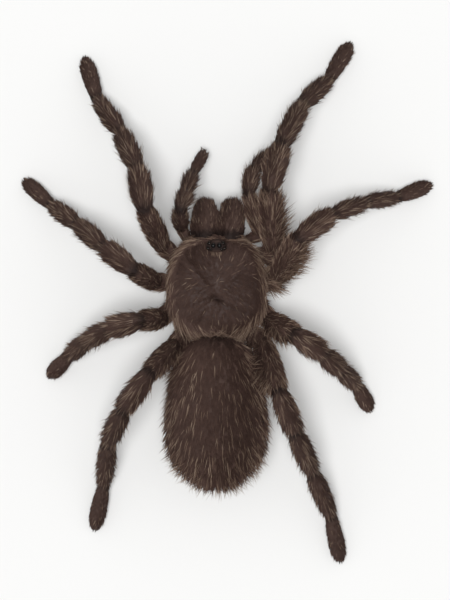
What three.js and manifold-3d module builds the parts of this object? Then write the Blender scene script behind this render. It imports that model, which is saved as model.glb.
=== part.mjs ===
/**
 * A life-size brown tarantula as a museum model, standing on eight feet.
 * Millimetres, +Z up. The head faces -Y and the animal's left side is +X.
 * Every size is that of the animal with its coat of bristles on.
 */
import * as THREE from "three";
import { mergeVertices } from "three/addons/utils/BufferGeometryUtils.js";
import Module from "manifold-3d";

const wasm = await Module();
wasm.setup();

// ---------------------------------------------------------------- driving dimensions

const JOINT_GAP = 0.3; // clear space between two pieces that meet
const LIMB_SIDES = 9;
const ROOT_SIDES = 8; // a coxa or trochanter, mostly hidden under the carapace

// The carapace is an egg in plan, blunt in front. Its widest line lies at y = widest.
const CARAPACE = {
  halfWidth: 9.8,
  widest: 2,
  front: 12,
  rear: 8,
  power: 2.6,
  underside: 8.9,
  rimTop: 9.7,
  dome: 3.9,
  headRise: 1.5,
};
const ABDOMEN = {
  halfWidth: 10.5,
  widest: 28.2,
  front: 18,
  rear: 13.5,
  power: 2.12,
  middle: 9.9,
  above: 7.6,
  below: 7.9,
  rearTaper: 0.22, // how much narrower than an egg it is at its rear end
  shoulders: 0.28, // and how much wider at its front end
};
const EYE_MOUND = { y: -7.4, halfWidth: 2.1, halfLength: 1.35, height: 1.6, sunk: 0.15 };
const EYE_DEPTH = 0.25; // the share of its radius by which an eye's middle lies below the mound's surface
// Each pair of eyes: distance from the midline, distance behind the mound's middle, radius.
const EYE_PAIRS = [
  { aside: 0.6, behind: -0.15, radius: 0.5 },
  { aside: 1.36, behind: -0.62, radius: 0.42 },
  { aside: 1.62, behind: 0.36, radius: 0.36 },
  { aside: 1.05, behind: 0.55, radius: 0.27 },
];
const CHELICERA = {
  aside: 2.8,
  base: -8.6,
  length: 8.9,
  halfWidth: 2.65,
  halfHeight: 3.9,
  middle: 8.9,
  droop: 0.028,
  taper: 0.018,
  splay: { left: -5, right: 3 },
  shoulders: 0.4,
  power: 2.5,
};
const FANG = { y: -15.9, z: 5.6, length: 5.4, radius: 0.8, bend: 95 };
const SPINNERET = { aside: 1.5, y: 37.2, z: 5.2, length: 4.6, radius: 0.8, rise: 4 };
const PEDICEL = { front: 6.2, rear: 12.5, radius: 1.15, z: 7.3 };
const CORE = { halfWidth: 7.6, front: 8.2, rear: 8.4, bottom: 4.7, top: 8.6 };
const STERNUM = { halfWidth: 4.1, front: 5.2, rear: 5.6, bottom: 4.0 };
const LABIUM = { y: -6.1, halfWidth: 1.5, halfLength: 1.1 };

// Segment lengths from the hip outwards: femur, patella, tibia, metatarsus, tarsus. A palp has no metatarsus.
const LIMB_LENGTHS = {
  leg_1: [14.6, 9.2, 11.0, 10.1, 8.8],
  leg_2: [13.0, 8.2, 9.8, 9.2, 7.6],
  leg_3: [11.4, 6.8, 7.7, 8.4, 6.2],
  leg_4: [15.0, 8.5, 11.2, 12.5, 9.5],
  palp: [9.5, 5.2, 6.0, 6.5],
};
const SEGMENT_NAMES = {
  leg: ["femur", "patella", "tibia", "metatarsus", "tarsus"],
  palp: ["femur", "patella", "tibia", "tarsus"],
};
// Where each coxa ends under the carapace's edge, and the length of the trochanter that follows it.
const COXA_ENDS = {
  leg_1: { x: 8.2, y: -5.5, z: 6.4, trochanter: 3.3 },
  leg_2: { x: 9.0, y: -0.5, z: 6.4, trochanter: 3.3 },
  leg_3: { x: 8.9, y: 4.6, z: 6.4, trochanter: 3.3 },
  leg_4: { x: 6.5, y: 9.4, z: 6.4, trochanter: 3.3 },
  palp: { x: 5.8, y: -8.6, z: 5.9, trochanter: 3.2 },
};
const COXA_ROOT = 0.42; // a coxa starts this share of the way out to its end
const HIP_HEIGHT = { leg: 7.3, palp: 6.0 };
const TIP_HEIGHT = { leg: 0.75, palp: 3.2 };
const PAD_SQUASH = 0.3; // what lies lower than this is pressed onto the floor

// The pose. Headings are degrees away from straight ahead, outwards, for the trochanter and each segment
// after it. Heights are those of the joints from the knee to the last segment's start, above the floor.
const POSE = {
  leg_1_left: { headings: [52, 25, 11, 25, 35, 17], heights: [19.6, 15.6, 8.5, 3.0] },
  leg_2_left: { headings: [94, 60, 52, 50, 54, 48], heights: [19.4, 15.8, 9.2, 3.1] },
  leg_3_left: { headings: [138, 94, 104, 119, 128, 136], heights: [18.0, 15.5, 10.0, 3.1] },
  leg_4_left: { headings: [149, 137, 144, 156, 172, 168], heights: [20.3, 20.0, 12.0, 3.0] },
  leg_1_right: { headings: [79, -4, 15, 27, 46, 31], heights: [14.9, 15.5, 9.8, 3.0] },
  leg_2_right: { headings: [76, 28, 54, 70, 80, 69], heights: [17.0, 15.8, 9.5, 3.1] },
  leg_3_right: { headings: [148, 118, 125, 131, 133, 151], heights: [17.3, 15.8, 10.2, 3.1] },
  leg_4_right: { headings: [120, 163, 159, 156, 157, 168], heights: [17.7, 17.2, 10.4, 3.0] },
  palp_left: { headings: [24, 1, -17, -18, -28], heights: [15.0, 11.4, 6.9] },
  palp_right: { headings: [70, -17, 12, 45, 45], heights: [10.1, 8.4, 5.2] },
};

// A segment's coated radius, and its share of that radius at stations along its length.
const GIRTH = { femur: 2.35, patella: 2.25, tibia: 2.0, metatarsus: 1.85, tarsus: 1.72 };
const GIRTH_OF_LIMB = { leg_1: 1, leg_2: 0.95, leg_3: 1, leg_4: 1, palp: 0.7 };
const SPREAD_BRISTLES = {
  leg_1_right_femur: 1.05,
  leg_2_right_femur: 1.16,
  leg_2_right_tibia: 0.88,
  leg_2_right_metatarsus: 0.9,
  leg_3_right_femur: 1.04,
}; // where the coat stands out, or lies close
const FORMS = {
  femur: [0.74, 0.93, 1.0, 0.99, 0.92, 0.74],
  patella: [0.8, 0.95, 1.0, 1.0, 0.94, 0.74],
  tibia: [0.76, 0.96, 1.0, 0.95, 0.86, 0.68],
  metatarsus: [0.79, 0.98, 1.0, 0.93, 0.84, 0.68],
  tarsus: [0.74, 0.84, 0.96, 1.0, 0.9, 0.46],
};
const STATIONS = [0, 0.14, 0.38, 0.66, 0.88, 1];
const ROOT_STATIONS = [0, 0.3, 0.75, 1];
const BOW = { femur: 0.55, patella: 0.35, tibia: 0.3, metatarsus: 0.15, tarsus: 0 };
const COXA_RADIUS = { leg: 2.35, palp: 1.6 };
const COXA_FORM = [0.72, 0.96, 1.0, 0.76];
const TROCHANTER_FORM = [0.68, 0.84, 0.82, 0.7];

// ---------------------------------------------------------------- materials

function paint(colour, roughness, metalness = 0) {
  return new THREE.MeshStandardMaterial({ color: colour, roughness, metalness });
}
const MATERIALS = {
  bristles: paint("#41322d", 0.85),
  carapace: paint("#4a3a32", 0.7),
  abdomen: paint("#3c2e2a", 0.9),
  underside: paint("#352926", 0.8),
  fang: paint("#17100e", 0.25),
  eyes: paint("#0c0908", 0.12),
  membrane: paint("#2a1f1d", 0.75),
};

// ---------------------------------------------------------------- shaping helpers

const radians = THREE.MathUtils.degToRad;

/** Moves every vertex of a geometry by a function of its place. */
function reshape(geometry, move) {
  const place = geometry.getAttribute("position");
  const point = new THREE.Vector3();
  for (let i = 0; i < place.count; i++) {
    point.fromBufferAttribute(place, i);
    move(point);
    place.setXYZ(i, point.x, point.y, point.z);
  }
  geometry.computeVertexNormals();
  return geometry;
}

/** A closed body turned about +Z from [radius, height] pairs. */
function turned(outline, sides) {
  const points = outline.map(([radius, height]) => new THREE.Vector2(radius, height));
  return new THREE.LatheGeometry(points, sides).rotateX(Math.PI / 2);
}

/** A superellipse's share of its half axes, [across, ahead], at an angle from straight ahead. */
function superellipse(angle, power) {
  const bend = (value) => Math.sign(value) * Math.abs(value) ** (2 / power);
  return [bend(Math.sin(angle)), bend(Math.cos(angle))];
}

/** A unit egg of revolution along Y: its radius follows a superellipse, its length runs from -1 to 1. */
function unitEgg(power, rings, sides) {
  const points = [];
  for (let i = 0; i <= rings; i++) {
    const angle = Math.PI * (1 - i / rings);
    const [radius, along] = superellipse(angle, power);
    points.push(new THREE.Vector2(i % rings ? radius : 0, along));
  }
  return new THREE.LatheGeometry(points, sides);
}

function solidFrom(geometry) {
  const bare = geometry.index ? geometry.toNonIndexed() : geometry.clone();
  bare.deleteAttribute("normal");
  bare.deleteAttribute("uv");
  const merged = mergeVertices(bare, 1e-3);
  const mesh = new wasm.Mesh({
    numProp: 3,
    vertProperties: merged.getAttribute("position").array,
    triVerts: new Uint32Array(merged.index.array),
  });
  return new wasm.Manifold(mesh);
}

function geometryFrom(solid) {
  const mesh = solid.getMesh();
  const places = new Float32Array(mesh.numVert * 3);
  for (let i = 0; i < mesh.numVert; i++) {
    const start = i * mesh.numProp;
    places.set(mesh.vertProperties.subarray(start, start + 3), i * 3);
  }
  const geometry = new THREE.BufferGeometry();
  geometry.setAttribute("position", new THREE.BufferAttribute(places, 3));
  geometry.setIndex(new THREE.BufferAttribute(new Uint32Array(mesh.triVerts), 1));
  geometry.computeVertexNormals();
  return geometry;
}

/** Cuts a solid back from a neighbour, and from that neighbour moved by each of the given steps. */
function clearOf(solid, neighbour, steps) {
  return steps.reduce(
    (left, step) => left.subtract(neighbour.translate(step)),
    solid.subtract(neighbour),
  );
}

function meshOf(name, shape, material) {
  const geometry = shape instanceof THREE.BufferGeometry ? shape : geometryFrom(shape);
  const mesh = new THREE.Mesh(geometry, material);
  mesh.name = name;
  return mesh;
}

// ---------------------------------------------------------------- limbs

/** The place and turn of a piece that runs from one point to another, its local Y pointing up. */
function frameAlong(from, to) {
  const along = to.clone().sub(from).normalize();
  const aside = new THREE.Vector3(0, 0, 1).cross(along).normalize();
  const lift = along.clone().cross(aside);
  return new THREE.Matrix4().makeBasis(aside, lift, along).setPosition(from);
}

/**
 * One limb segment: a body of revolution bowed upwards, each end sheared onto the plane that halves the
 * bend of its joint and set back half a gap from it. Those planes' normals are in the segment's own frame.
 */
function limbSegment(length, radius, form, bow, startNormal, endNormal) {
  const stations = form.length === ROOT_STATIONS.length ? ROOT_STATIONS : STATIONS;
  const sides = form.length === ROOT_STATIONS.length ? ROOT_SIDES : LIMB_SIDES;
  const start = JOINT_GAP / 2 / startNormal.z;
  const end = length - JOINT_GAP / 2 / endNormal.z;
  const rings = form.map((share, i) => [share * radius, THREE.MathUtils.lerp(start, end, stations[i])]);
  const shear = (point, normal) => -(normal.x * point.x + normal.y * point.y) / normal.z;
  return reshape(turned([[0, start], ...rings, [0, end]], sides), (point) => {
    const share = point.z / length;
    const nearStart = Math.max(0, 1 - 2 * share);
    const nearEnd = Math.max(0, 2 * share - 1);
    const slide = nearStart * shear(point, startNormal) + nearEnd * shear(point, endNormal);
    point.y += bow * Math.sin(Math.PI * share);
    point.z += slide;
  });
}

/** A limb's joints from its coxa's end to its tip, worked out from its lengths and its pose. */
function limbJoints(limb) {
  const [kind, number] = limb.split("_");
  const type = kind === "leg" ? `leg_${number}` : "palp";
  const side = limb.endsWith("left") ? 1 : -1;
  const coxa = COXA_ENDS[type];
  const lengths = [coxa.trochanter, ...LIMB_LENGTHS[type]];
  const heights = [coxa.z, HIP_HEIGHT[kind], ...POSE[limb].heights, TIP_HEIGHT[kind]];
  const joints = [new THREE.Vector3(side * coxa.x, coxa.y, coxa.z)];
  lengths.forEach((length, i) => {
    const rise = heights[i + 1] - heights[i];
    const reach = Math.sqrt(length ** 2 - rise ** 2);
    const heading = radians(POSE[limb].headings[i]);
    const step = new THREE.Vector3(side * Math.sin(heading) * reach, -Math.cos(heading) * reach, rise);
    joints.push(joints[i].clone().add(step));
  });
  return { kind, type, side, joints };
}

/** The unit normal of the plane that halves the bend at a joint, or the end's own direction at a free end. */
function bisector(before, joint, after) {
  const into = before ? joint.clone().sub(before).normalize() : new THREE.Vector3();
  const out = after ? after.clone().sub(joint).normalize() : new THREE.Vector3();
  return into.add(out).normalize();
}

/** The segment that runs from joint number i to the next one, as a placed geometry. */
function segmentAt(joints, i, radius, form, bow) {
  const frame = frameAlong(joints[i], joints[i + 1]);
  const unturn = new THREE.Matrix4().extractRotation(frame).transpose();
  const startNormal = bisector(joints[i - 1], joints[i], joints[i + 1]).applyMatrix4(unturn);
  const endNormal = bisector(joints[i], joints[i + 1], joints[i + 2]).applyMatrix4(unturn);
  const length = joints[i].distanceTo(joints[i + 1]);
  return limbSegment(length, radius, form, bow, startNormal, endNormal).applyMatrix4(frame);
}

/** The meshes of one leg or palp, from femur to tarsus. A foot pad is pressed flat where it meets the floor. */
function limbMeshes(limb) {
  const { kind, type, joints } = limbJoints(limb);
  return SEGMENT_NAMES[kind].map((segment, k) => {
    const radius = GIRTH[segment] * GIRTH_OF_LIMB[type] * (SPREAD_BRISTLES[`${limb}_${segment}`] ?? 1);
    const geometry = segmentAt(joints, k + 1, radius, FORMS[segment], BOW[segment]);
    reshape(geometry, (point) => {
      if (point.z < PAD_SQUASH) point.z = 0;
    });
    return meshOf(`${limb}_${segment}`, geometry, MATERIALS.bristles);
  });
}

/** The coxa and trochanter of one limb, as two solids that overlap a little where they are joined. */
function limbRoot(limb) {
  const { kind, joints } = limbJoints(limb);
  const [coxaEnd, hip, knee] = joints;
  const root = new THREE.Vector3(coxaEnd.x * COXA_ROOT, coxaEnd.y * COXA_ROOT, coxaEnd.z);
  const radius = COXA_RADIUS[kind];
  const overrun = coxaEnd.clone().sub(root).setLength(JOINT_GAP * 2);
  const coxa = segmentAt([root, coxaEnd.clone().add(overrun)], 0, radius, COXA_FORM, 0);
  const trochanter = segmentAt([coxaEnd, hip, knee], 0, radius, TROCHANTER_FORM, 0);
  return solidFrom(coxa).add(solidFrom(trochanter));
}

// ---------------------------------------------------------------- trunk

/** The carapace's top above a point at a share of the way out to its edge. */
function carapaceTop(x, y, share) {
  const { rimTop, dome, headRise, power } = CARAPACE;
  const shell = dome * Math.sqrt(Math.max(0, 1 - share ** power));
  const head = headRise * Math.exp(-(((y + 6) / 4.2) ** 2) - (x / 4.6) ** 2) * (1 - share ** 6);
  const fovea = 0.9 * Math.exp(-((x / 1.5) ** 2) - ((y - 2.8) / 1.1) ** 2);
  return rimTop + shell + head - fovea;
}

/** A flat-bottomed plate with an egg for a plan: the carapace. */
function carapaceSolid() {
  const { halfWidth, widest, front, rear, power, underside } = CARAPACE;
  const shares = [0, 0.22, 0.44, 0.64, 0.8, 0.91, 0.97, 1];
  const top = shares.map((share) => [share, 1]).reverse();
  const outline = [[0, 0], [0.6, 0], [1, 0], ...top];
  const shape = reshape(turned(outline, 28), (point) => {
    const share = Math.hypot(point.x, point.y);
    const [across, ahead] = superellipse(Math.atan2(point.x, -point.y), power);
    const onTop = point.z > 0.5;
    point.x = share * across * halfWidth;
    point.y = widest - share * ahead * (ahead > 0 ? front : rear);
    point.z = onTop ? carapaceTop(point.x, point.y, share) : underside;
  });
  return solidFrom(shape);
}

/** The low mound between the front corners of the carapace, with its eight eyes. */
function eyeMoundSolid(carapace) {
  const { y, halfWidth, halfLength, height, sunk } = EYE_MOUND;
  const shareOut = (CARAPACE.widest - y) / CARAPACE.front;
  const floor = carapaceTop(0, y, shareOut) - sunk;
  const mound = new THREE.SphereGeometry(1, 12, 6).rotateX(Math.PI / 2);
  mound.scale(halfWidth, halfLength, height).translate(0, y, floor);
  let solid = solidFrom(mound);
  for (const { aside, behind, radius } of EYE_PAIRS) {
    const drop = (aside / halfWidth) ** 2 + (behind / halfLength) ** 2;
    const rise = height * Math.sqrt(Math.max(0, 1 - drop)) - radius * EYE_DEPTH;
    for (const side of [1, -1]) {
      const eye = new THREE.SphereGeometry(radius, 6, 4);
      eye.translate(side * aside, y + behind, floor + rise);
      solid = solid.add(solidFrom(eye));
    }
  }
  return clearOf(solid, carapace, [[0, 0, JOINT_GAP]]);
}

/** A chelicera's thick basal part: an egg that reaches forward and sags towards its tip. */
function splayOf(side) {
  return radians(side > 0 ? CHELICERA.splay.left : CHELICERA.splay.right);
}

function cheliceraSolid(side, carapace, underside) {
  const { aside, base, length, halfWidth, halfHeight, middle, droop, taper, power } = CHELICERA;
  const egg = unitEgg(power, 10, 14).scale(halfWidth, length / 2, halfHeight);
  reshape(egg, (point) => {
    const reach = length / 2 - point.y;
    point.x *= 1 + CHELICERA.shoulders * Math.max(0, (2 * point.y) / length) ** 5;
    point.z -= droop * reach ** 2;
    point.z *= 1 - taper * reach;
  });
  egg.translate(0, -length / 2, 0).rotateZ(side * splayOf(side));
  egg.translate(side * aside, base, middle);
  const around = [-1, 0, 1].map((step) => [0, -JOINT_GAP, step * JOINT_GAP]);
  around.push([0, 0, -JOINT_GAP], [0, 0, JOINT_GAP]);
  const above = [1, 2, 3, 4, 5].map((step) => [0, -JOINT_GAP / 2, JOINT_GAP + step * 0.6]);
  const cut = clearOf(solidFrom(egg), carapace, [...around, ...above]);
  return clearOf(cut, underside, around);
}

/** A fang: a tapering horn that folds back beneath its chelicera. */
function fangSolid(side, chelicera) {
  const { y, z, length, radius, bend } = FANG;
  const aside = CHELICERA.aside + (CHELICERA.base - y) * Math.sin(splayOf(side));
  const shares = [0, 0.2, 0.4, 0.6, 0.8, 1];
  const outline = [[0, 0], ...shares.map((share) => [radius * (1 - 0.68 * share), share * length]), [0, length]];
  const turn = radians(bend);
  const horn = reshape(turned(outline, 8), (point) => {
    const angle = (point.z / length) * turn;
    const reach = length / turn - point.y;
    point.y = length / turn - reach * Math.cos(angle);
    point.z = reach * Math.sin(angle);
  });
  horn.rotateX(Math.PI).rotateZ(Math.PI).translate(side * aside, y, z);
  return clearOf(solidFrom(horn), chelicera, [[0, 0, -JOINT_GAP]]);
}

function abdomenSolid() {
  const { halfWidth, widest, front, rear, power, middle, above, below } = ABDOMEN;
  const egg = reshape(unitEgg(power, 14, 20), (point) => {
    const rearwards = Math.max(0, point.y);
    const forwards = Math.max(0, -point.y);
    point.x *= halfWidth * (1 - ABDOMEN.rearTaper * rearwards ** 3 + ABDOMEN.shoulders * forwards ** 8);
    point.y = widest + point.y * (point.y < 0 ? front : rear);
    point.z = middle + point.z * (point.z > 0 ? above : below);
  });
  return solidFrom(egg);
}

/** The flat block between the coxae, with the sternum and the labium standing out below it. */
function undersideSolid() {
  const disc = ({ halfWidth, front, rear }, bottom, top) => {
    const outline = [[0, bottom], [0.86, bottom], [1, bottom + 0.6], [1, top], [0, top]];
    return reshape(turned(outline, 16), (point) => {
      point.x *= halfWidth;
      point.y *= point.y < 0 ? front : rear;
    });
  };
  const labium = new THREE.SphereGeometry(1, 10, 8);
  labium.scale(LABIUM.halfWidth, LABIUM.halfLength, 1).translate(0, LABIUM.y, STERNUM.bottom + 1);
  let solid = solidFrom(disc(CORE, CORE.bottom, CORE.top));
  solid = solid.add(solidFrom(disc(STERNUM, STERNUM.bottom, CORE.bottom + 1)));
  solid = solid.add(solidFrom(labium));
  return Object.keys(POSE).reduce((whole, limb) => whole.add(limbRoot(limb)), solid);
}

function pedicelSolid(underside, abdomen) {
  const { front, rear, radius, z } = PEDICEL;
  const stalk = turned([[0, 0], [radius, 0], [radius * 0.85, (rear - front) / 2], [radius, rear - front], [0, rear - front]], 12);
  stalk.rotateX(-Math.PI / 2).translate(0, front, z);
  const behind = clearOf(solidFrom(stalk), underside, [[0, JOINT_GAP, 0]]);
  return clearOf(behind, abdomen, [[0, -JOINT_GAP, 0]]);
}

/** One of the two long rear spinnerets: a blunt finger under the abdomen's end. */
function spinneretSolid(side, abdomen) {
  const { aside, y, z, length, radius, rise } = SPINNERET;
  const shares = [[0, 1], [0.3, 0.95], [0.36, 0.8], [0.68, 0.78], [0.74, 0.62], [0.95, 0.45]];
  const outline = [[0, 0], ...shares.map(([share, girth]) => [radius * girth, share * length]), [0, length]];
  const finger = turned(outline, 8).rotateX(-Math.PI / 2 + radians(rise)).rotateZ(-side * radians(6));
  finger.translate(side * aside, y, z);
  return clearOf(solidFrom(finger), abdomen, [[0, 0, -JOINT_GAP], [0, JOINT_GAP, 0]]);
}

// ---------------------------------------------------------------- the animal

const tarantula = new THREE.Group();
const carapace = carapaceSolid();
const abdomen = abdomenSolid();
const underside = undersideSolid();

tarantula.add(meshOf("carapace", carapace, MATERIALS.carapace));
tarantula.add(meshOf("eye_mound", eyeMoundSolid(carapace), MATERIALS.eyes));
tarantula.add(meshOf("sternum_and_coxae", underside, MATERIALS.underside));
tarantula.add(meshOf("pedicel", pedicelSolid(underside, abdomen), MATERIALS.membrane));
tarantula.add(meshOf("abdomen", abdomen, MATERIALS.abdomen));
for (const [sideName, side] of [["left", 1], ["right", -1]]) {
  const chelicera = cheliceraSolid(side, carapace, underside);
  tarantula.add(meshOf(`chelicera_${sideName}`, chelicera, MATERIALS.bristles));
  tarantula.add(meshOf(`fang_${sideName}`, fangSolid(side, chelicera), MATERIALS.fang));
  tarantula.add(meshOf(`spinneret_${sideName}`, spinneretSolid(side, abdomen), MATERIALS.underside));
}
for (const limb of Object.keys(POSE)) tarantula.add(...limbMeshes(limb));

// The frame's origin is on the floor, under the middle of the animal's bounding box.
const middle = new THREE.Box3().setFromObject(tarantula).getCenter(new THREE.Vector3());
tarantula.position.set(-middle.x, -middle.y, 0);

export default tarantula;
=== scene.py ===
# %% [markdown]
# # A tarantula, life size, with its coat of bristles
#
# A tarantula is a body of dark, leathery cuticle under a dense coat of stiff hairs. A museum model of one
# is made in the same order as this lesson: first the bare body, then the hard plates and the eyes, then
# the bristles, row upon row, and last the lights.
#
# The solids that were packed before this script runs give the places and the girths. They include the
# coat, so the bare skin made here lies inside them and the tips of the bristles reach back out to them.
# Nothing is read from anywhere else.

import math

import bmesh
import bpy
import numpy as np
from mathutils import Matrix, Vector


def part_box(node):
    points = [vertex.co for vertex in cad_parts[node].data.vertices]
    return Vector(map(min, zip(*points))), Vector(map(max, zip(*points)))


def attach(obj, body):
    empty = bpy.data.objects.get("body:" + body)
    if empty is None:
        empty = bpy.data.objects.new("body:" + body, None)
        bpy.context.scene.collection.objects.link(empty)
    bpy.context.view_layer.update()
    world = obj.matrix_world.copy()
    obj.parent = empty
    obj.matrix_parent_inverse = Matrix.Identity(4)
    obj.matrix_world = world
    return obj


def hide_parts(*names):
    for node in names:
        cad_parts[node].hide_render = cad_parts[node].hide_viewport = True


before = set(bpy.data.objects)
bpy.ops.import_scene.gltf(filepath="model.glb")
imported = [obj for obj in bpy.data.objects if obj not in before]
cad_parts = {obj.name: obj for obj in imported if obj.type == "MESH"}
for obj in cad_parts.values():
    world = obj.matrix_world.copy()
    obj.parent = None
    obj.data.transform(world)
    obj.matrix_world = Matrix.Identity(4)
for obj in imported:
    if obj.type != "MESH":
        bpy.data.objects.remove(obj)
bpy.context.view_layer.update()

# %% [markdown]
# ## Where things are
#
# The animal faces -Y and its left side is +X. Its body parts were drawn from one point on the floor, under
# the body's midline and ten millimetres behind the front edge of the carapace, the shield over its front
# half. Measures below are in millimetres from there, because those are the numbers a maker would take with
# callipers, and one function turns them into places in metres.

# %% One origin for the body
MM = 0.001
FRONT_OF_ORIGIN = 10.0  # the carapace's front edge lies this far ahead of the origin
shell_low, shell_high = (np.array(corner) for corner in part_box("carapace"))
MIDLINE = (shell_low[0] + shell_high[0]) / 2
ORIGIN = np.array([MIDLINE, shell_low[1] + FRONT_OF_ORIGIN * MM, 0.0])
UP = np.array([0.0, 0.0, 1.0])
BACK = np.array([0.0, 1.0, 0.0])


def at(x, y, z):
    """The place in metres of a point given in millimetres from the body's origin."""
    return ORIGIN + MM * np.array([x, y, z])


print("the body's origin is at", np.round(ORIGIN / MM, 2), "mm")

# %% Vector sums that are used all through
def unit(vectors):
    """Vectors made one long. One that has no length stays so."""
    lengths = np.linalg.norm(vectors, axis=-1, keepdims=True)
    return vectors / np.where(lengths > 1e-12, lengths, 1.0)


def dot(a, b):
    """The dot product of each pair of vectors, kept as a column."""
    return np.sum(a * b, axis=-1, keepdims=True)


def bump(distance, width):
    """A smooth hump, 1 at no distance and nearly 0 at twice the width."""
    return np.exp(-((distance / width) ** 2))


def ramp(value, low, high):
    """0 below the low value, 1 above the high one and smooth between."""
    share = np.clip((value - low) / (high - low), 0, 1)
    return share * share * (3 - 2 * share)


# %% Making a mesh from points and faces
def grid_faces(rows, columns, closed=True):
    """The four-cornered faces of a grid of points. A closed grid joins its last column to its first."""
    faces = []
    for row in range(rows - 1):
        for column in range(columns if closed else columns - 1):
            right = (column + 1) % columns
            faces.append(
                (
                    row * columns + column,
                    row * columns + right,
                    (row + 1) * columns + right,
                    (row + 1) * columns + column,
                )
            )
    return faces


def capped(rings, first, last):
    """A closed surface through rings of points, with a single point at each end."""
    rows, columns = rings.shape[:2]
    places = np.vstack([rings.reshape(-1, 3), first, last])
    faces = grid_faces(rows, columns)
    start, end = rows * columns, rows * columns + 1
    for column in range(columns):
        right = (column + 1) % columns
        faces.append((start, right, column))
        below = (rows - 1) * columns
        faces.append((end, below + column, below + right))
    return places, faces


def new_piece(name, places, faces, smooth=True):
    """A mesh object at the origin, its faces turned outwards."""
    mesh = bpy.data.meshes.new(name)
    mesh.from_pydata(np.asarray(places).tolist(), [], faces)
    shape = bmesh.new()
    shape.from_mesh(mesh)
    bmesh.ops.recalc_face_normals(shape, faces=shape.faces)
    shape.to_mesh(mesh)
    shape.free()
    if smooth:
        mesh.shade_smooth()
    piece = bpy.data.objects.new(name, mesh)
    bpy.context.scene.collection.objects.link(piece)
    return piece


def joined(parts):
    """Several (places, faces) pairs as one."""
    places, faces, count = [], [], 0
    for part_places, part_faces in parts:
        places.append(part_places)
        faces.extend(tuple(corner + count for corner in face) for face in part_faces)
        count += len(part_places)
    return np.vstack(places), faces


def triangles_in(piece):
    """How many triangles a piece's faces come to."""
    return sum(len(face.vertices) - 2 for face in piece.data.polygons)


# %% [markdown]
# ## Reading the limbs
#
# Eight legs and two palps, each a chain of segments. Every packed segment is a stack of rings of points
# between two end points, so its middle line can be read by walking from one end to the other, a ring at a
# time. The joints then come out by themselves, and the skin and every bristle follow the same lines.

# %% A segment's rings
RING_POINTS = 9  # points in each ring, and triangles at each end point, of a packed segment
SAME_PLACE = 1e-7  # metres: corners nearer to each other than this are one
SEGMENTS = {
    "leg": ("femur", "patella", "tibia", "metatarsus", "tarsus"),
    "palp": ("femur", "patella", "tibia", "tarsus"),
}
LIMBS = [f"leg_{number}_{side}" for number in (1, 2, 3, 4) for side in ("left", "right")]
LIMBS += ["palp_left", "palp_right"]


def corners_and_triangles(node):
    """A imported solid's corners, those at one place made one, and its triangles."""
    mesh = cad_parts[node].data
    places = np.array([corner.co for corner in mesh.vertices])
    mesh.calc_loop_triangles()
    triangles = np.array([triangle.vertices for triangle in mesh.loop_triangles])
    steps = np.round(places / SAME_PLACE).astype(int)
    first, back = np.unique(steps, axis=0, return_index=True, return_inverse=True)[1:]
    return places[first], back.reshape(-1)[triangles]


def segment_rings(node, near_point):
    """The ring middles and girths of a segment, with the two end points, from the end by near_point."""
    places, triangles = corners_and_triangles(node)
    beside = {corner: set() for corner in range(len(places))}
    for triangle in triangles:
        for corner in triangle:
            beside[corner] |= set(triangle) - {corner}
    ends = [corner for corner in beside if len(beside[corner]) == RING_POINTS]
    ends.sort(key=lambda corner: np.linalg.norm(places[corner] - near_point))
    start, end = ends
    axis = unit(places[end] - places[start])
    seen, ring, middles, girths = {start}, beside[start], [], []
    while end not in ring:
        points = places[sorted(ring)]
        middles.append(points.mean(0))
        out = points - points.mean(0)
        out -= dot(out, axis) * axis
        girths.append(np.linalg.norm(out, axis=1).mean())
        seen |= ring
        ring = set().union(*(beside[corner] for corner in ring)) - seen
    return places[start], places[end], np.array(middles), np.array(girths)


# %% [markdown]
# ## One smooth line for each limb
#
# A leg starts under the carapace with two short segments, the coxa and the trochanter, which the packed
# solids hold in one block with the breastplate. Their sizes are given again here. Then come the segments
# read above. The line through them all is drawn finely and blurred a little, so that the skin bends at a
# joint as a leather glove does, and pulled in where the soft joint skin lies.

# %% The roots of the limbs and the depth of the coat
COXA_ENDS = {
    "leg_1": (8.2, -5.5, 6.4),
    "leg_2": (9.0, -0.5, 6.4),
    "leg_3": (8.9, 4.6, 6.4),
    "leg_4": (6.5, 9.4, 6.4),
    "palp": (5.8, -8.6, 5.9),
}
COXA_START = 0.42  # a coxa starts this share of the way out to its end
COXA_GIRTH = {"leg": 2.35, "palp": 1.6}
COXA_STATIONS = ((0, 0.72), (0.3, 0.96), (0.75, 1.0), (0.96, 0.76))  # share along, share of the girth
TROCHANTER_STATIONS = ((0.08, 0.72), (0.35, 0.86), (0.7, 0.86), (0.92, 0.74))
COAT_DEPTH = {  # mm from the tips of the coat down to the skin
    "coxa": 0.3,
    "trochanter": 0.32,
    "femur": 0.4,
    "patella": 0.32,
    "tibia": 0.3,
    "metatarsus": 0.25,
    "tarsus": 0.15,
}
PALP_COAT = 0.5  # a palp's coat, as a share of the depth on a leg
TIP_COAT = 0.5  # mm that the bristles reach past the end of a foot
JOINT_PINCH = {  # the skin's girth at a joint, as a share of the girth beside it
    "leg_1": 0.82,
    "leg_2": 0.83,
    "leg_3": 0.88,
    "leg_4": 0.93,
    "palp": 0.84,
}
LINE_STEP = 0.25 * MM
LINE_BLUR = 0.45 * MM


def kind_of(limb):
    """Which pair a limb belongs to, such as leg_1 or palp."""
    return limb.rsplit("_", 1)[0]


def side_of(limb):
    """1 for the left side, which is +X, and -1 for the right."""
    return 1 if limb.endswith("left") else -1


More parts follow.
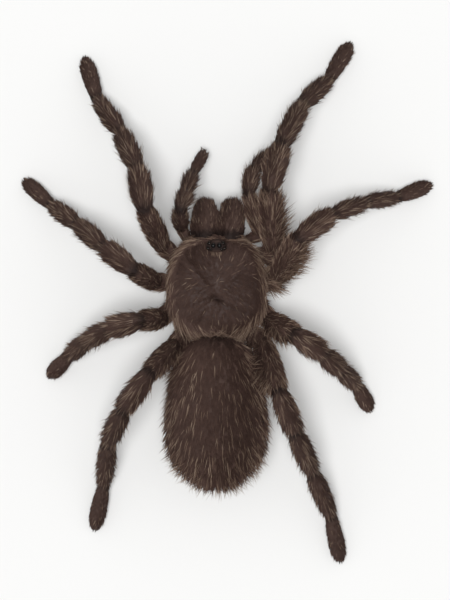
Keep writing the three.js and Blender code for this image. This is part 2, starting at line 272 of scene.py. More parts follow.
def root_stations(limb, hip):
    """Middles, girths and segment names from inside the body out to the hip."""
    kind = kind_of(limb)
    x, y, z = COXA_ENDS[kind]
    end = at(side_of(limb) * x, y, z)
    start = at(side_of(limb) * x * COXA_START, y * COXA_START, z)
    girth = COXA_GIRTH[kind.split("_")[0]]
    coxa, trochanter = COAT_DEPTH["coxa"], COAT_DEPTH["trochanter"]
    stations = []
    for share, form in COXA_STATIONS:
        stations.append((start + share * (end - start), (girth * form - coxa) * MM, "coxa"))
    for share, form in TROCHANTER_STATIONS:
        stations.append((end + share * (hip - end), (girth * form - trochanter) * MM, "trochanter"))
    return stations


def limb_stations(limb):
    """All the stations of a limb, with a pinched one at each joint."""
    stations, last_end = [], ORIGIN
    for name in SEGMENTS[limb.split("_")[0]]:
        start, end, middles, girths = segment_rings(f"{limb}_{name}", last_end)
        skin = girths - COAT_DEPTH[name] * MM * (PALP_COAT if limb.startswith("palp") else 1)
        if not stations:
            stations = root_stations(limb, start)
            last_end = start
        pinch = min(stations[-1][1], skin[0]) * JOINT_PINCH[kind_of(limb)]
        stations.append(((last_end + start) / 2, pinch, name))
        stations += [(middle, girth, name) for middle, girth in zip(middles, skin)]
        last_end = end
    tip = last_end - TIP_COAT * MM * unit(last_end - stations[-1][0])
    stations.append((tip, stations[-1][1] * 0.8, SEGMENTS[limb.split("_")[0]][-1]))
    return stations


# %% A fine, blurred line through the stations
def blurred(columns, step, blur):
    """Columns of numbers averaged with their neighbours. The first and last rows stay where they are."""
    reach = int(3 * blur / step)
    weights = bump(np.arange(-reach, reach + 1) * step, blur * math.sqrt(2))
    weights /= weights.sum()
    before = 2 * columns[0] - columns[reach:0:-1]
    after = 2 * columns[-1] - columns[-2 : -reach - 2 : -1]
    padded = np.vstack([before, columns, after])
    return np.column_stack([np.convolve(column, weights, "valid") for column in padded.T])


def limb_line(limb):
    """The limb's middle line: points, girths, directions, distance along it and segment names."""
    stations = limb_stations(limb)
    points = np.array([station[0] for station in stations])
    girths = np.array([station[1] for station in stations])
    names = np.array([station[2] for station in stations])
    run = np.concatenate([[0], np.cumsum(np.linalg.norm(np.diff(points, axis=0), axis=1))])
    fine = np.linspace(0, run[-1], int(run[-1] / LINE_STEP) + 1)
    rows = np.column_stack([points, girths])
    rows = np.column_stack([np.interp(fine, run, column) for column in rows.T])
    rows = blurred(rows, fine[1], LINE_BLUR)
    along = unit(np.gradient(rows[:, :3], axis=0))
    above = unit(UP - dot(along, UP) * along)
    nearest = np.abs(fine[:, None] - run[None, :]).argmin(1)
    joints = [run[i] for i in range(1, len(run)) if names[i] != names[i - 1]]
    starts = np.array([0.0] + joints)
    ends = np.array(joints + [run[-1]])
    piece = np.clip(np.searchsorted(starts, fine, "right") - 1, 0, len(starts) - 1)
    return {
        "name": limb,
        "points": rows[:, :3],
        "girths": rows[:, 3],
        "along": along,
        "above": above,
        "aside": np.cross(along, above),
        "run": fine,
        "segment": names[nearest],
        "share": (fine - starts[piece]) / (ends - starts)[piece],
        "from_joint": np.abs(fine[:, None] - np.array(joints)[None, :]).min(1),
    }


LINES = {limb: limb_line(limb) for limb in LIMBS}
for limb, line in LINES.items():
    length, thickest = line["run"][-1] / MM, line["girths"].max() / MM
    print(f"{limb}: {length:.1f} mm along, {thickest:.2f} mm at its thickest")

# %% [markdown]
# ## The bare body
#
# The skin is made the way a sculptor works in clay: simple rounded masses are pushed together, and then
# the whole is rebuilt as one surface, so that no seam shows where a leg enters the body. Blender's voxel
# remesh does the second step. A fine voxel keeps the folds at the joints.

# %% Masses for the limbs, and a shape for the round ones
TUBE_SIDES = 20
EGG_ROWS, EGG_COLUMNS = 28, 36


def limb_mass(line):
    """A tube along a limb's line."""
    angles = np.linspace(0, 2 * np.pi, TUBE_SIDES, endpoint=False)
    out = (
        np.cos(angles)[None, :, None] * line["above"][:, None]
        + np.sin(angles)[None, :, None] * line["aside"][:, None]
    )
    rings = line["points"][:, None] + line["girths"][:, None, None] * out
    tip = line["points"][-1] + line["along"][-1] * line["girths"][-1] * 0.15
    return capped(rings, line["points"][0], tip)


def egg(power, rows=EGG_ROWS, columns=EGG_COLUMNS):
    """A unit egg along Y, from -1 to 1. A higher power makes it squarer from the side."""
    turn = np.pi * np.arange(1, rows) / rows
    length = -np.sign(np.cos(turn)) * np.abs(np.cos(turn)) ** (2 / power)
    girth = np.sin(turn) ** (2 / power)
    around = np.linspace(0, 2 * np.pi, columns, endpoint=False)
    rings = np.stack(
        [
            girth[:, None] * np.cos(around)[None],
            np.repeat(length[:, None], columns, 1),
            girth[:, None] * np.sin(around)[None],
        ],
        axis=-1,
    )
    return capped(rings, np.array([[0.0, -1.0, 0.0]]), np.array([[0.0, 1.0, 0.0]]))


def lump(x, y, z, half_width, half_length, half_height, power=2.0):
    """An egg of given half sizes in millimetres, at a place given in millimetres from the origin."""
    places, faces = egg(power)
    return at(x, y, z) + MM * places * np.array([half_width, half_length, half_height]), faces


# %% [markdown]
# ## The abdomen
#
# The abdomen is a soft bag, broad at the shoulders and widest a little behind its middle. Its skin is
# stretched smooth, so one egg formula gives it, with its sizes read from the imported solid.

# %% The abdomen, read from its solid
ABDOMEN_POWER = 2.12
ABDOMEN_WIDEST = 18 / 31.5  # the share of its length at which it is widest
ABDOMEN_MIDDLE = 7.9 / 15.5  # the share of its height at which it is widest
ABDOMEN_REAR_TAPER = 0.22  # how much narrower than an egg it is at its rear end
ABDOMEN_SHOULDERS = 0.36  # and how much wider at its front end
ABDOMEN_COAT = {"side": 0.85, "front": 0.1, "rear": 1.6, "above": 0.5, "below": 0.6}
belly_low, belly_high = (np.array(corner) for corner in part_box("abdomen"))
belly_size = belly_high - belly_low
ABDOMEN_CENTRE = np.array(
    [
        MIDLINE,
        belly_low[1] + ABDOMEN_WIDEST * belly_size[1],
        belly_low[2] + ABDOMEN_MIDDLE * belly_size[2],
    ]
)
ABDOMEN_SIDE = belly_size[0] / 2 - ABDOMEN_COAT["side"] * MM
ABDOMEN_FRONT = ABDOMEN_WIDEST * belly_size[1] - ABDOMEN_COAT["front"] * MM
ABDOMEN_REAR = (1 - ABDOMEN_WIDEST) * belly_size[1] - ABDOMEN_COAT["rear"] * MM
ABDOMEN_ABOVE = (1 - ABDOMEN_MIDDLE) * belly_size[2] - ABDOMEN_COAT["above"] * MM
ABDOMEN_BELOW = ABDOMEN_MIDDLE * belly_size[2] - ABDOMEN_COAT["below"] * MM


def width_against_egg(length):
    """The abdomen's width as a share of an egg's. The length runs from -1, its front, to 1, its rear."""
    taper = ABDOMEN_REAR_TAPER * np.clip(length, 0, 1) ** 3
    shoulders = ABDOMEN_SHOULDERS * np.clip(-length, 0, 1) ** 8
    return 1 - taper + shoulders


def abdomen_mass():
    """An egg with broad shoulders that narrows towards its rear."""
    places, faces = egg(ABDOMEN_POWER, 48, 64)
    shaped = places.copy()
    shaped[:, 0] *= ABDOMEN_SIDE * width_against_egg(places[:, 1])
    shaped[:, 1] *= np.where(places[:, 1] < 0, ABDOMEN_FRONT, ABDOMEN_REAR)
    shaped[:, 2] *= np.where(places[:, 2] > 0, ABDOMEN_ABOVE, ABDOMEN_BELOW)
    return ABDOMEN_CENTRE + shaped, faces


def abdomen_share(points):
    """Points as shares of the way out to the abdomen's skin, along its width, length and height."""
    away = points - ABDOMEN_CENTRE
    length = np.where(away[:, 1] < 0, ABDOMEN_FRONT, ABDOMEN_REAR)
    height = np.where(away[:, 2] > 0, ABDOMEN_ABOVE, ABDOMEN_BELOW)
    width = ABDOMEN_SIDE * width_against_egg(away[:, 1] / length)
    return away / np.stack([width, length, height], axis=1)


print("half width, front and rear of the abdomen's skin in mm:")
print(np.round(np.array([ABDOMEN_SIDE, ABDOMEN_FRONT, ABDOMEN_REAR]) / MM, 1).tolist())

# %% [markdown]
# ## The jaw bases
#
# The two chelicerae are stout, almost square in section, and hold the muscles of the fangs. They start
# under the carapace and droop forwards. An egg with a high power is square enough, and two small sums
# bend it down and thin it towards its front.

# %% The chelicerae: the two thick jaw bases in front
CHELICERA = {
    "aside": 2.74,
    "hinge": -8.4,
    "hidden": 1.5,
    "length": 9.95,
    "half_width": 2.6,
    "half_height": 3.5,
    "middle": 8.75,
    "droop": 0.02,
    "taper": 0.015,
    "power": 2.5,
}
SPLAY = {1: -5.0, -1: 3.0}  # degrees that the left and the right jaw point away from the midline


def chelicera_mass(side):
    """An egg that droops and narrows towards its front, turned a little away from the midline."""
    size = CHELICERA
    places, faces = egg(size["power"], 30, 32)
    x, y, z = (places * np.array([size["half_width"], size["length"] / 2, size["half_height"]])).T
    reach = size["length"] / 2 - y
    z = (z - size["droop"] * reach**2) * (1 - size["taper"] * reach)
    y = y - size["length"] / 2 + size["hidden"]
    turn = side * math.radians(SPLAY[side])
    turned_x = x * math.cos(turn) - y * math.sin(turn)
    turned_y = x * math.sin(turn) + y * math.cos(turn)
    moved = np.column_stack([turned_x, turned_y, z])
    return at(side * size["aside"], size["hinge"], size["middle"]) + MM * moved, faces


def aside_of_chelicera(side, y):
    """How far from the midline a jaw's middle is, at a distance behind the body's origin."""
    return CHELICERA["aside"] + (CHELICERA["hinge"] - y) * math.sin(math.radians(SPLAY[side]))


print("the jaws reach", CHELICERA["length"] - CHELICERA["hidden"], "mm forward of their hinge")

# %% [markdown]
# ## Under the body, and the feet
#
# Seen from below, the coxae meet round a breastplate, with a lip and two lobes about the mouth. Behind
# the abdomen stand the spinnerets, of three joints each. A foot ends in a pad of two lobes with the claws
# between them. Simple eggs do for all of these, because the remesh melts them into one another.

# %% The breastplate, the lip, the mouth lobes, the waist and the spinnerets
def trunk_masses():
    """The masses under the carapace and behind the abdomen: place, half sizes and squareness."""
    masses = [
        lump(0, 0.1, 6.9, 7.2, 8.2, 2.1, 2.6),  # the core that the coxae grow from
        lump(0, 0.1, 5.2, 4.0, 5.5, 1.05, 2.8),  # the sternum, the breastplate between the coxae
        lump(0, -6.2, 5.0, 1.4, 1.15, 0.95, 2.2),  # the labium, the lower lip
        lump(0, 9.6, 7.3, 1.05, 3.6, 1.05, 2.0),  # the pedicel, the waist
        lump(0, 36.6, 6.6, 1.5, 1.6, 1.5, 2.0),  # the anal mound
    ]
    for side in (1, -1):
        masses.append(lump(side * 3.1, -8.6, 5.2, 1.35, 2.5, 1.25, 2.2))  # a maxilla, beside the mouth
        masses.append(lump(side * 0.55, 37.6, 5.0, 0.38, 1.0, 0.38))  # a small middle spinneret
        for start, length, girth in ((0.2, 1.0, 0.68), (1.75, 0.9, 0.6), (3.2, 0.85, 0.48)):
            masses.append(lump(side * (1.5 + 0.1 * start), 37.2 + start, 5.2, girth, length, girth))
    return masses


def claw_tuft_masses(line):
    """The two soft lobes at the end of a foot."""
    tip, along, aside = line["points"][-1], line["along"][-1], line["aside"][-1]
    girth = line["girths"][-1]
    lobes = []
    for side in (1, -1):
        places, faces = egg(2.0, 12, 14)
        middle = tip + side * aside * girth * 0.72 - along * girth * 0.55
        lobe = (
            places[:, :1] * aside * girth * 0.72
            + places[:, 1:2] * unit(along + side * 0.16 * aside) * girth * 1.15
            + places[:, 2:] * line["above"][-1] * girth * 0.75
        )
        lobes.append((middle + lobe, faces))
    return lobes


# %% [markdown]
# ## One skin
#
# A voxel remesh rebuilds the pile of masses as one closed surface, and a little smoothing takes off its
# steps. What would reach below the floor is lifted onto it, so the soles rest flat, as real pads do.

# %% One skin from all the masses
SKIN_VOXEL = 0.33 * MM
SKIN_SMOOTHING = 3
FLOOR_CLEARANCE = 0.02 * MM  # nothing reaches lower than this above the floor
FLESH = [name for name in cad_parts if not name.startswith(("carapace", "eye", "fang"))]


def points_of(mesh):
    """The places of a mesh's points."""
    places = np.empty(len(mesh.vertices) * 3)
    mesh.vertices.foreach_get("co", places)
    return places.reshape(-1, 3)


def make_skin():
    """The masses pushed together and rebuilt as one closed surface."""
    masses = [limb_mass(line) for line in LINES.values()]
    masses += [lobe for line in LINES.values() for lobe in claw_tuft_masses(line)]
    masses += [abdomen_mass(), chelicera_mass(1), chelicera_mass(-1)]
    masses += trunk_masses()
    clay = new_piece("clay", *joined(masses))
    remesh = clay.modifiers.new("one surface", "REMESH")
    remesh.mode = "VOXEL"
    remesh.voxel_size = SKIN_VOXEL
    remesh.use_smooth_shade = True
    soften = clay.modifiers.new("soften", "SMOOTH")
    soften.factor = 0.5
    soften.iterations = SKIN_SMOOTHING
    evaluated = clay.evaluated_get(bpy.context.evaluated_depsgraph_get())
    mesh = bpy.data.meshes.new_from_object(evaluated)
    bpy.data.objects.remove(clay)
    mesh.name = "skin"
    places = points_of(mesh)
    places[:, 2] = np.maximum(places[:, 2], FLOOR_CLEARANCE)  # the soles rest flat on the floor
    mesh.vertices.foreach_set("co", places.ravel())
    mesh.update()
    skin = bpy.data.objects.new("skin", mesh)
    bpy.context.scene.collection.objects.link(skin)
    return skin


skin = make_skin()
print("the skin has", triangles_in(skin), "triangles")

# %% [markdown]
# ## A map of the coat
#
# A bristle has to know which way to lie, how long to be and how far to stand up, wherever it grows. So
# each point of the skin is told, once, which part of the body it belongs to and what grows there. The
# numbers are kept on the skin as named attributes, and the tree that grows the bristles reads them by
# name. The same map darkens the joints, paints shade on the coxae, the jaws' bases, the waist and the
# skin under the carapace, and sets the tone of each segment, on the skin and on the coat alike, so that no
# bare spot shows between two bristles.

# %% Reading and writing numbers on a mesh
def outwards_of(mesh):
    """The direction that the surface faces at each point."""
    normals = np.empty(len(mesh.vertices) * 3)
    mesh.vertex_normals.foreach_get("vector", normals)
    return normals.reshape(-1, 3)


def write_numbers(mesh, name, values):
    """Keeps one number or one vector for each point of a mesh under a name."""
    kind = "FLOAT" if values.ndim == 1 else "FLOAT_VECTOR"
    attribute = mesh.attributes.new(name, kind, "POINT")
    field = "value" if kind == "FLOAT" else "vector"
    attribute.data.foreach_set(field, values.astype(np.float32).ravel())


def write_root_places(mesh, flat):
    """Keeps each point's place on the flattened skin, on face corners, so that no face spans the seam."""
    corners = np.empty(len(mesh.loops), int)
    mesh.loops.foreach_get("vertex_index", corners)
    starts = np.empty(len(mesh.polygons), int)
    mesh.polygons.foreach_get("loop_start", starts)
    sizes = np.empty(len(mesh.polygons), int)
    mesh.polygons.foreach_get("loop_total", sizes)
    first = np.repeat(flat[corners[starts], 0], sizes)
    across = flat[corners, 0] + np.round(first - flat[corners, 0])
    settled = np.column_stack([across, flat[corners, 1]]).astype(np.float32)
    attribute = mesh.attributes.new("root_place", "FLOAT2", "CORNER")
    attribute.data.foreach_set("vector", settled.ravel())


def along_skin(aim, outwards):
    """A direction laid flat on the skin."""
    return unit(aim - dot(aim, outwards) * outwards)


def turn_share(across, up):
    """How far round an axis a point lies, as a share of a full turn. The seam is opposite to up."""
    return np.arctan2(across, up) / (2 * np.pi) + 0.5


def amount(table, regions):
    """A plain amount plus what each region adds, by how far each point belongs to the region."""
    total = table["plain"]
    for name, addition in table.items():
        if name != "plain":
            total = total + addition * regions[name]
    return total


# %% [markdown]
# ## The coat of the legs
#
# On every segment the bristles run towards the foot. They are longest on the femur and shortest on the
# foot, whose sole carries a dense pad. Before a joint they stay short, so that the leg can bend, and the
# bare skin of the joint is dark. Two pale stripes and fans of long bristles are laid over all of this.

# %% What grows on each segment of a limb
# For each segment: the bristles' length in millimetres, their angle off the skin in degrees, how densely
# they grow, the share of pale ones, and the tone, where 1 is the plain brown and more is paler.
LIMB_BRISTLES = {
    "coxa": (1.6, 14, 1.1, 0.20, 1.25),
    "trochanter": (1.8, 14, 1.1, 0.26, 1.25),
    "femur": (2.1, 13, 1.0, 0.30, 1.26),
    "patella": (2.0, 23, 1.0, 0.22, 1.0),
    "tibia": (2.1, 24, 1.0, 0.21, 0.88),
    "metatarsus": (1.7, 23, 1.0, 0.18, 0.9),
    "tarsus": (0.85, 18, 1.25, 0.06, 0.92),
}
TONE_OF_LIMB = {"leg_1": 0.98, "leg_2": 1.04, "leg_3": 1.08, "leg_4": 0.97, "palp": 1.0}
LONG_SEGMENTS = ("femur", "patella", "tibia", "metatarsus")
SEGMENT_BLUR = 0.5 * MM  # over how long a stretch one segment's coat passes into the next
SIDEWAYS = 0.16  # how far the bristles on a limb's flanks turn away from its top
JOINT = {"shade": 0.8 * MM, "shorter": 0.3, "thinner": 0.3, "ring_at_hip": 0.25}
SHORTER_TO_END = {"femur": 0.3, "leg_4": 0.3, "other": 0.46}  # the bristles before a joint are shorter
CUFF = {"at": 0.86, "width": 0.07, "pale": 0.3}  # a paler band before a joint, in shares of the segment
FOOT_END_SHORTER = 0.4
SOLE = {"stand": 20.0, "cover": 0.5}  # degrees and share that the pad under a foot adds
# painted shade: the coxae, which lie under the carapace's edge, are darkened as a whole
COXA_PAINTED_SHADE = 0.25
print(len(LIMB_BRISTLES), "segments, with bristles of up to", LIMB_BRISTLES["femur"][0], "mm")

# %% Two pale stripes along the top of the legs
STRIPES = {"patella": 0.9, "tibia": 0.9, "metatarsus": 0.7, "tarsus": 0.3}
STRIPES_OF_LIMB = {"leg_1": 1.0, "leg_2": 0.8, "leg_3": 0.7, "leg_4": 0.35, "palp": 0.7}
STRIPE = {"aside": 0.33, "width": 0.12, "flatter": 0.55, "cover": 0.4, "pale": 0.8}  # aside in radians


def stripes_on(line, station, angle, share):
    """How strong the stripes are at points of a limb, each by its station, angle and share along."""
    striped = np.array([STRIPES.get(name, 0.0) for name in line["segment"]])[station]
    stripe = bump(np.abs(angle) - STRIPE["aside"], STRIPE["width"]) * striped
    stripe = stripe * STRIPES_OF_LIMB[kind_of(line["name"])]
    return stripe * (ramp(share, 0.05, 0.2) * (1 - ramp(share, 0.75, 0.95)))


# %% Fans of long bristles that stand out from some segments
FANS = (  # limb, segment, side (1 or -1: right or left of one who looks along it), how full, how pale
    ("leg_1_right", "trochanter", 1, 0.8, 0.0),
    ("leg_1_right", "femur", 1, 0.85, 0.1),
    ("leg_1_right", "femur", -1, 0.15, 0.0),
    ("leg_2_right", "coxa", -1, 0.8, 0.3),
    ("leg_2_right", "coxa", 1, 0.8, 0.3),
    ("leg_2_right", "trochanter", -1, 0.6, 0.5),
    ("leg_2_right", "trochanter", 1, 1.0, 0.5),
    ("leg_2_right", "femur", 1, 0.9, 0.5),
    ("leg_3_right", "femur", 1, 0.7, 0.2),
    ("leg_4_right", "coxa", 1, 1.3, 0.0),
    ("leg_4_right", "trochanter", 1, 1.5, 0.0),
    ("leg_4_right", "femur", 1, 1.2, 0.0),
    ("leg_4_left", "coxa", -1, 1.0, 0.0),
    ("leg_4_left", "trochanter", -1, 0.8, 0.0),
    ("leg_4_left", "femur", -1, 0.3, 0.0),
    ("palp_right", "femur", 1, 0.3, 0.1),
    ("palp_left", "patella", 1, 0.3, 0.1),
)
FAN = {  # what a full fan adds: mm, degrees, shares and tone. Its middle lies a little above the flank.
    "length": 1.5,
    "stand": 28.0,
    "cover": 0.35,
    "cover_at_hip": 1.3,
    "tone": -0.1,
    "pale_tone": 0.2,
    "above_flank": 0.25,
}


def fans_on(limb, segment, angle, share):
    """How full and how pale the fans are at points of a limb, by segment, angle and share along it."""
    middle = np.sin(np.pi * share) ** 0.6
    full, pale = np.zeros(len(angle)), np.zeros(len(angle))
    for fan_limb, name, side, fullness, paleness in FANS:
        if fan_limb == limb:
            facing = np.clip(side * np.sin(angle + side * FAN["above_flank"]), 0, 1)
            facing = facing * middle * (segment == name)
            full += fullness * facing
            pale += paleness * facing
    return full, pale


print(len(FANS), "fans")


# %% The whole map of a limb
def limb_map(line, points):
    """Everything about the coat at skin points that belong to one limb."""
    limb, kind = line["name"], kind_of(line["name"])
    away = points[:, None] - line["points"][None]
    station = (np.linalg.norm(away, axis=2) - line["girths"][None]).argmin(1)
    out = points - line["points"][station]
    above, aside, along = (line[key][station] for key in ("above", "aside", "along"))
    angle = np.arctan2(np.sum(out * aside, 1), np.sum(out * above, 1))
    around = np.cos(angle)[:, None] * aside - np.sin(angle)[:, None] * above
    segment = line["segment"][station]
    share = np.clip(line["share"][station], 0, 1)
    table = np.array([LIMB_BRISTLES[name] for name in line["segment"]])
    reach, stand, cover, pale, tone = blurred(table, line["run"][1], SEGMENT_BLUR)[station].T
    fan, fan_pale = fans_on(limb, segment, angle, share)
    stripe = stripes_on(line, station, angle, share)

    # Joints, the ends of segments, feet and soles.
    joint = bump(line["from_joint"][station], JOINT["shade"])
    at_hip = np.isin(segment, ("coxa", "trochanter"))
    by_hip = at_hip | ((segment == "femur") & (share < 0.5))
    ring = joint * np.where(by_hip, JOINT["ring_at_hip"], 1.0)
    is_long = np.isin(segment, LONG_SEGMENTS)
    shorter = SHORTER_TO_END.get(kind, SHORTER_TO_END["other"])
    shorter = np.where(segment == "femur", SHORTER_TO_END["femur"], shorter)
    near_end = ramp(share, 0.68, 0.95) * is_long * shorter
    is_foot = segment == "tarsus"
    foot_end = ramp(share, 0.8, 1.0) * is_foot
    cuff = bump(share - CUFF["at"], CUFF["width"]) * is_long
    sole = is_foot * ramp(-np.cos(angle), 0.2, 0.7)

    swerve = SIDEWAYS * np.sin(angle) * np.sign(np.cos(angle))
    reach = (reach + FAN["length"] * fan) * (1 - near_end)
    reach = reach * (1 - FOOT_END_SHORTER * foot_end) * (1 - JOINT["shorter"] * joint)
    stand = stand + FAN["stand"] * fan + SOLE["stand"] * sole
    fuller = 1 + (FAN["cover"] + FAN["cover_at_hip"] * at_hip) * fan
    fuller = fuller + SOLE["cover"] * sole + STRIPE["cover"] * stripe
    pale = pale * (1 - stripe) + STRIPE["pale"] * stripe + fan_pale + CUFF["pale"] * cuff - pale * sole
    tone = tone * TONE_OF_LIMB[kind] + FAN["pale_tone"] * fan_pale + FAN["tone"] * np.clip(fan, 0, 1)
    return {
        "lie": unit(along + swerve[:, None] * around),
        "reach": reach * MM,
        "stand": np.radians(stand) * (1 - STRIPE["flatter"] * stripe),
        "cover": cover * (1 - JOINT["thinner"] * joint) * fuller,
        "pale": np.clip(pale, 0, 1),
        # gloom: the joints' own dark skin, plus painted shade on the coxae under the carapace's edge
        "gloom": np.clip(ring + COXA_PAINTED_SHADE * (segment == "coxa"), 0, 1),
        "tone": tone,
        "flat": np.column_stack([angle / (2 * np.pi) + 0.5, line["run"][station] / line["run"][-1]]),
    }


# %% [markdown]
# ## The coat of the abdomen, the jaws and the underside
#
# The longest bristles grow on the abdomen. They lie back, fan out over its shoulders and stand out round
# its rear. Below they are short, and the four book lungs, the pale plates it breathes through, are nearly
# bare. A plain amount, and what each region adds to it, is enough to say so. On the jaws the bristles run
# forward and down, and under the body they run back.

# %% What grows on the abdomen
ABDOMEN_BRISTLES = {  # a plain amount and what each region of the abdomen adds to it
    "spread": {"plain": 0.3, "rear": 0.25, "shoulder": 0.9},  # how far they turn out from straight back
    "reach": {"plain": 2.1, "rear": 0.75, "flank": 0.3, "shoulder": 1.9, "below": -0.7},  # mm
    "stand": {"plain": 12, "flank": 6, "shoulder": 20},  # degrees
    "cover": {"plain": 1.0, "below": -0.15, "shoulder": 1.7},
    "pale": {"plain": 0.08, "flank": 0.2, "rear": 0.22, "below": 0.25},
    "tone": {"plain": 1.05, "rear": 0.12, "front": 0.1},
}
FACING_STAND = 0.8  # at the rear they stand up as the skin turns to face backwards
# painted shade: how dark the abdomen's front is where the carapace's rear edge overhangs it at the waist
WAIST_PAINTED_SHADE = 0.5
BOOK_LUNGS = [(x, y) for y in (-0.62, -0.3) for x in (0.42, -0.42)]  # in shares of the half sizes
BOOK_LUNG_SIZE = {"width": 1.3, "length": 0.8, "edge": 0.13}
LUNG_BARE = 0.8  # the share of the coat that a book lung lacks


def abdomen_map(points, outwards):
    """Long bristles that lie back along the abdomen and stand out round its rear."""
    share = abdomen_share(points)
    radial = unit(share * np.array([1, 0, 1]))
    rear = ramp(share[:, 1], 0.1, 1.0)
    flank = np.abs(share[:, 0]) ** 2
    below = ramp(-share[:, 2], 0.1, 0.8)
    regions = {
        "rear": rear,
        "flank": flank,
        "shoulder": ramp(-share[:, 1], 0.35, 0.8) * flank,
        "below": below,
        "front": ramp(-share[:, 1], 0.4, 0.9),
    }
    grown = {name: amount(table, regions) for name, table in ABDOMEN_BRISTLES.items()}
    aim = unit(BACK + grown["spread"][:, None] * radial)
    facing = np.sum(aim * outwards, 1)
    lungs = np.zeros(len(points))
    for x, y in BOOK_LUNGS:
        across = (share[:, 0] - x) / BOOK_LUNG_SIZE["width"]
        along = (share[:, 1] - y) / BOOK_LUNG_SIZE["length"]
        lungs += bump(np.hypot(across, along), BOOK_LUNG_SIZE["edge"]) * below
    lungs = np.clip(lungs, 0, 1)
    tilt = np.arccos(np.clip(-share[:, 1], -1, 1)) / np.pi
    return {
        "lie": along_skin(aim, outwards),
        "reach": grown["reach"] * MM,
        "stand": np.radians(grown["stand"]) + FACING_STAND * np.arcsin(np.clip(facing, 0, 0.95)),
        "cover": grown["cover"] * (1 - LUNG_BARE * lungs),
        "pale": np.clip(grown["pale"], 0, 1),
        # painted shade at the abdomen's front, under the carapace's rear edge
        "gloom": bump(np.minimum(share[:, 1] + 1, 0.5), 0.08) * WAIST_PAINTED_SHADE,
        "tone": grown["tone"],
        "lungs": lungs,
        "flat": np.column_stack([turn_share(share[:, 0], share[:, 2]), tilt]),
    }


# %% What grows on the jaws
def chelicera_map(side, points, outwards):
    """Short bristles running forward over the jaws and down their fronts; painted shade at the jaws' bases.
    """
    size = CHELICERA
    base = at(side * size["aside"], size["hinge"] + size["hidden"], size["middle"])
    along = (base[1] - points[:, 1]) / (size["length"] * MM)
    aim = -BACK - 0.25 * UP + 0.15 * side * np.array([1.0, 0, 0])
    away = points - base
    front = ramp(along, 0.75, 1.0)
    return {
        "lie": along_skin(aim, outwards),
        "reach": (1.1 + 0.2 * front) * MM,
        "stand": np.radians(16 + 30 * front),
        "cover": np.full(len(points), 1.15),
        "pale": 0.05 + 0.08 * ramp(along, 0.3, 0.5),
        # painted shade: the jaws' bases are darkened where they pass under the carapace's front edge
        "gloom": 1 - ramp(along, 0.29, 0.41),
        "tone": np.ones(len(points)),
        "flat": np.column_stack([turn_share(away[:, 0], away[:, 2]), np.clip(along, 0, 1)]),
    }


# %% What grows under the body and on the spinnerets
TRUNK_BRISTLES = {"reach": 1.3, "spinneret_reach": 0.9, "stand": 16.0, "cover": 0.8, "pale": 0.15}
# painted shade: how dark the skin is where the carapace hides it
UNDER_SHELL_PAINTED_SHADE = 0.7


def trunk_map(points, outwards):
    """Bristles under the body, lying back. None grow where the carapace or the waist hides them, and there
    the skin gets painted shade.
    """
    away = points - at(0, 0, 6.9)
    spinning = points[:, 1] > belly_high[1] - 5 * MM
    hidden = (away[:, 2] > 1.2 * MM) & ~spinning
    reach = np.where(spinning, TRUNK_BRISTLES["spinneret_reach"], TRUNK_BRISTLES["reach"])
    tilt = np.arccos(np.clip(-unit(away)[:, 2], -1, 1)) / np.pi
    return {
        "lie": along_skin(BACK, outwards),
        "reach": reach * MM,
        "stand": np.full(len(points), math.radians(TRUNK_BRISTLES["stand"])),
        "cover": np.where(hidden, 0.0, TRUNK_BRISTLES["cover"]),
        "pale": np.full(len(points), TRUNK_BRISTLES["pale"]),
        # painted shade on the skin under the carapace
        "gloom": np.where(hidden, UNDER_SHELL_PAINTED_SHADE, 0.0),
        "tone": np.ones(len(points)),
        "flat": np.column_stack([turn_share(away[:, 0], away[:, 1]), tilt]),
    }


# %% Which part each point of the skin belongs to
PARTS = LIMBS + ["abdomen", "chelicera_left", "chelicera_right", "trunk"]
NUMBERS = ("lie", "reach", "stand", "cover", "pale", "gloom", "tone", "lungs")
FAR = 9.0  # metres, for a part that a point can't belong to
LIMB_ROOM = 4 * MM  # no skin lies farther from a limb's line than this
GAUGE = {"abdomen": 8.0, "chelicera": 2.2, "trunk": 3.0}  # mm for each share of the way out of a mass
CHELICERA_SAG = 0.8  # mm by which the middle of the jaw lies below its hinge
TRUNK = {"y": 0.1, "z": 6.6, "half_sizes": (7.0, 8.2, 2.6)}
SPINNERETS = {"length": 4.5, "height": 5.2, "half_width": 5.0}  # the space that they take up, in mm


def distances_from_parts(points):
    """How far each point lies from the surface of each part's own mass."""
    table = np.full((len(points), len(PARTS)), FAR)
    for column, limb in enumerate(LIMBS):
        line = LINES[limb]
        low = line["points"].min(0) - LIMB_ROOM
        high = line["points"].max(0) + LIMB_ROOM
        near = np.all((points > low) & (points < high), axis=1)
        away = np.linalg.norm(points[near][:, None] - line["points"][None, ::2], axis=2)
        table[near, column] = (away - line["girths"][None, ::2]).min(1)
    share = np.linalg.norm(abdomen_share(points), axis=1)
    table[:, PARTS.index("abdomen")] = (share - 1) * GAUGE["abdomen"] * MM
    size = CHELICERA
    half = MM * np.array([size["half_width"], size["length"] / 2, size["half_height"]])
    y = size["hinge"] + size["hidden"] - size["length"] / 2
    for name, side in (("chelicera_left", 1), ("chelicera_right", -1)):
        middle = at(side * aside_of_chelicera(side, y), y, size["middle"] - CHELICERA_SAG)
        share = np.linalg.norm((points - middle) / half, axis=1)
        table[:, PARTS.index(name)] = (share - 1) * GAUGE["chelicera"] * MM
    middle = at(0, TRUNK["y"], TRUNK["z"])
    half = MM * np.array(TRUNK["half_sizes"])
    share = np.linalg.norm((points - middle) / half, axis=1)
    table[:, PARTS.index("trunk")] = (share - 1) * GAUGE["trunk"] * MM

    # The spinnerets count as trunk. The feet of legs 4 are as far back and as low, but farther out.
    behind = points[:, 1] > belly_high[1] - SPINNERETS["length"] * MM
    low = points[:, 2] < belly_low[2] + SPINNERETS["height"] * MM
    between_legs = np.abs(points[:, 0] - MIDLINE) < SPINNERETS["half_width"] * MM
    table[behind & low & between_legs, PARTS.index("trunk")] = -1
    return table


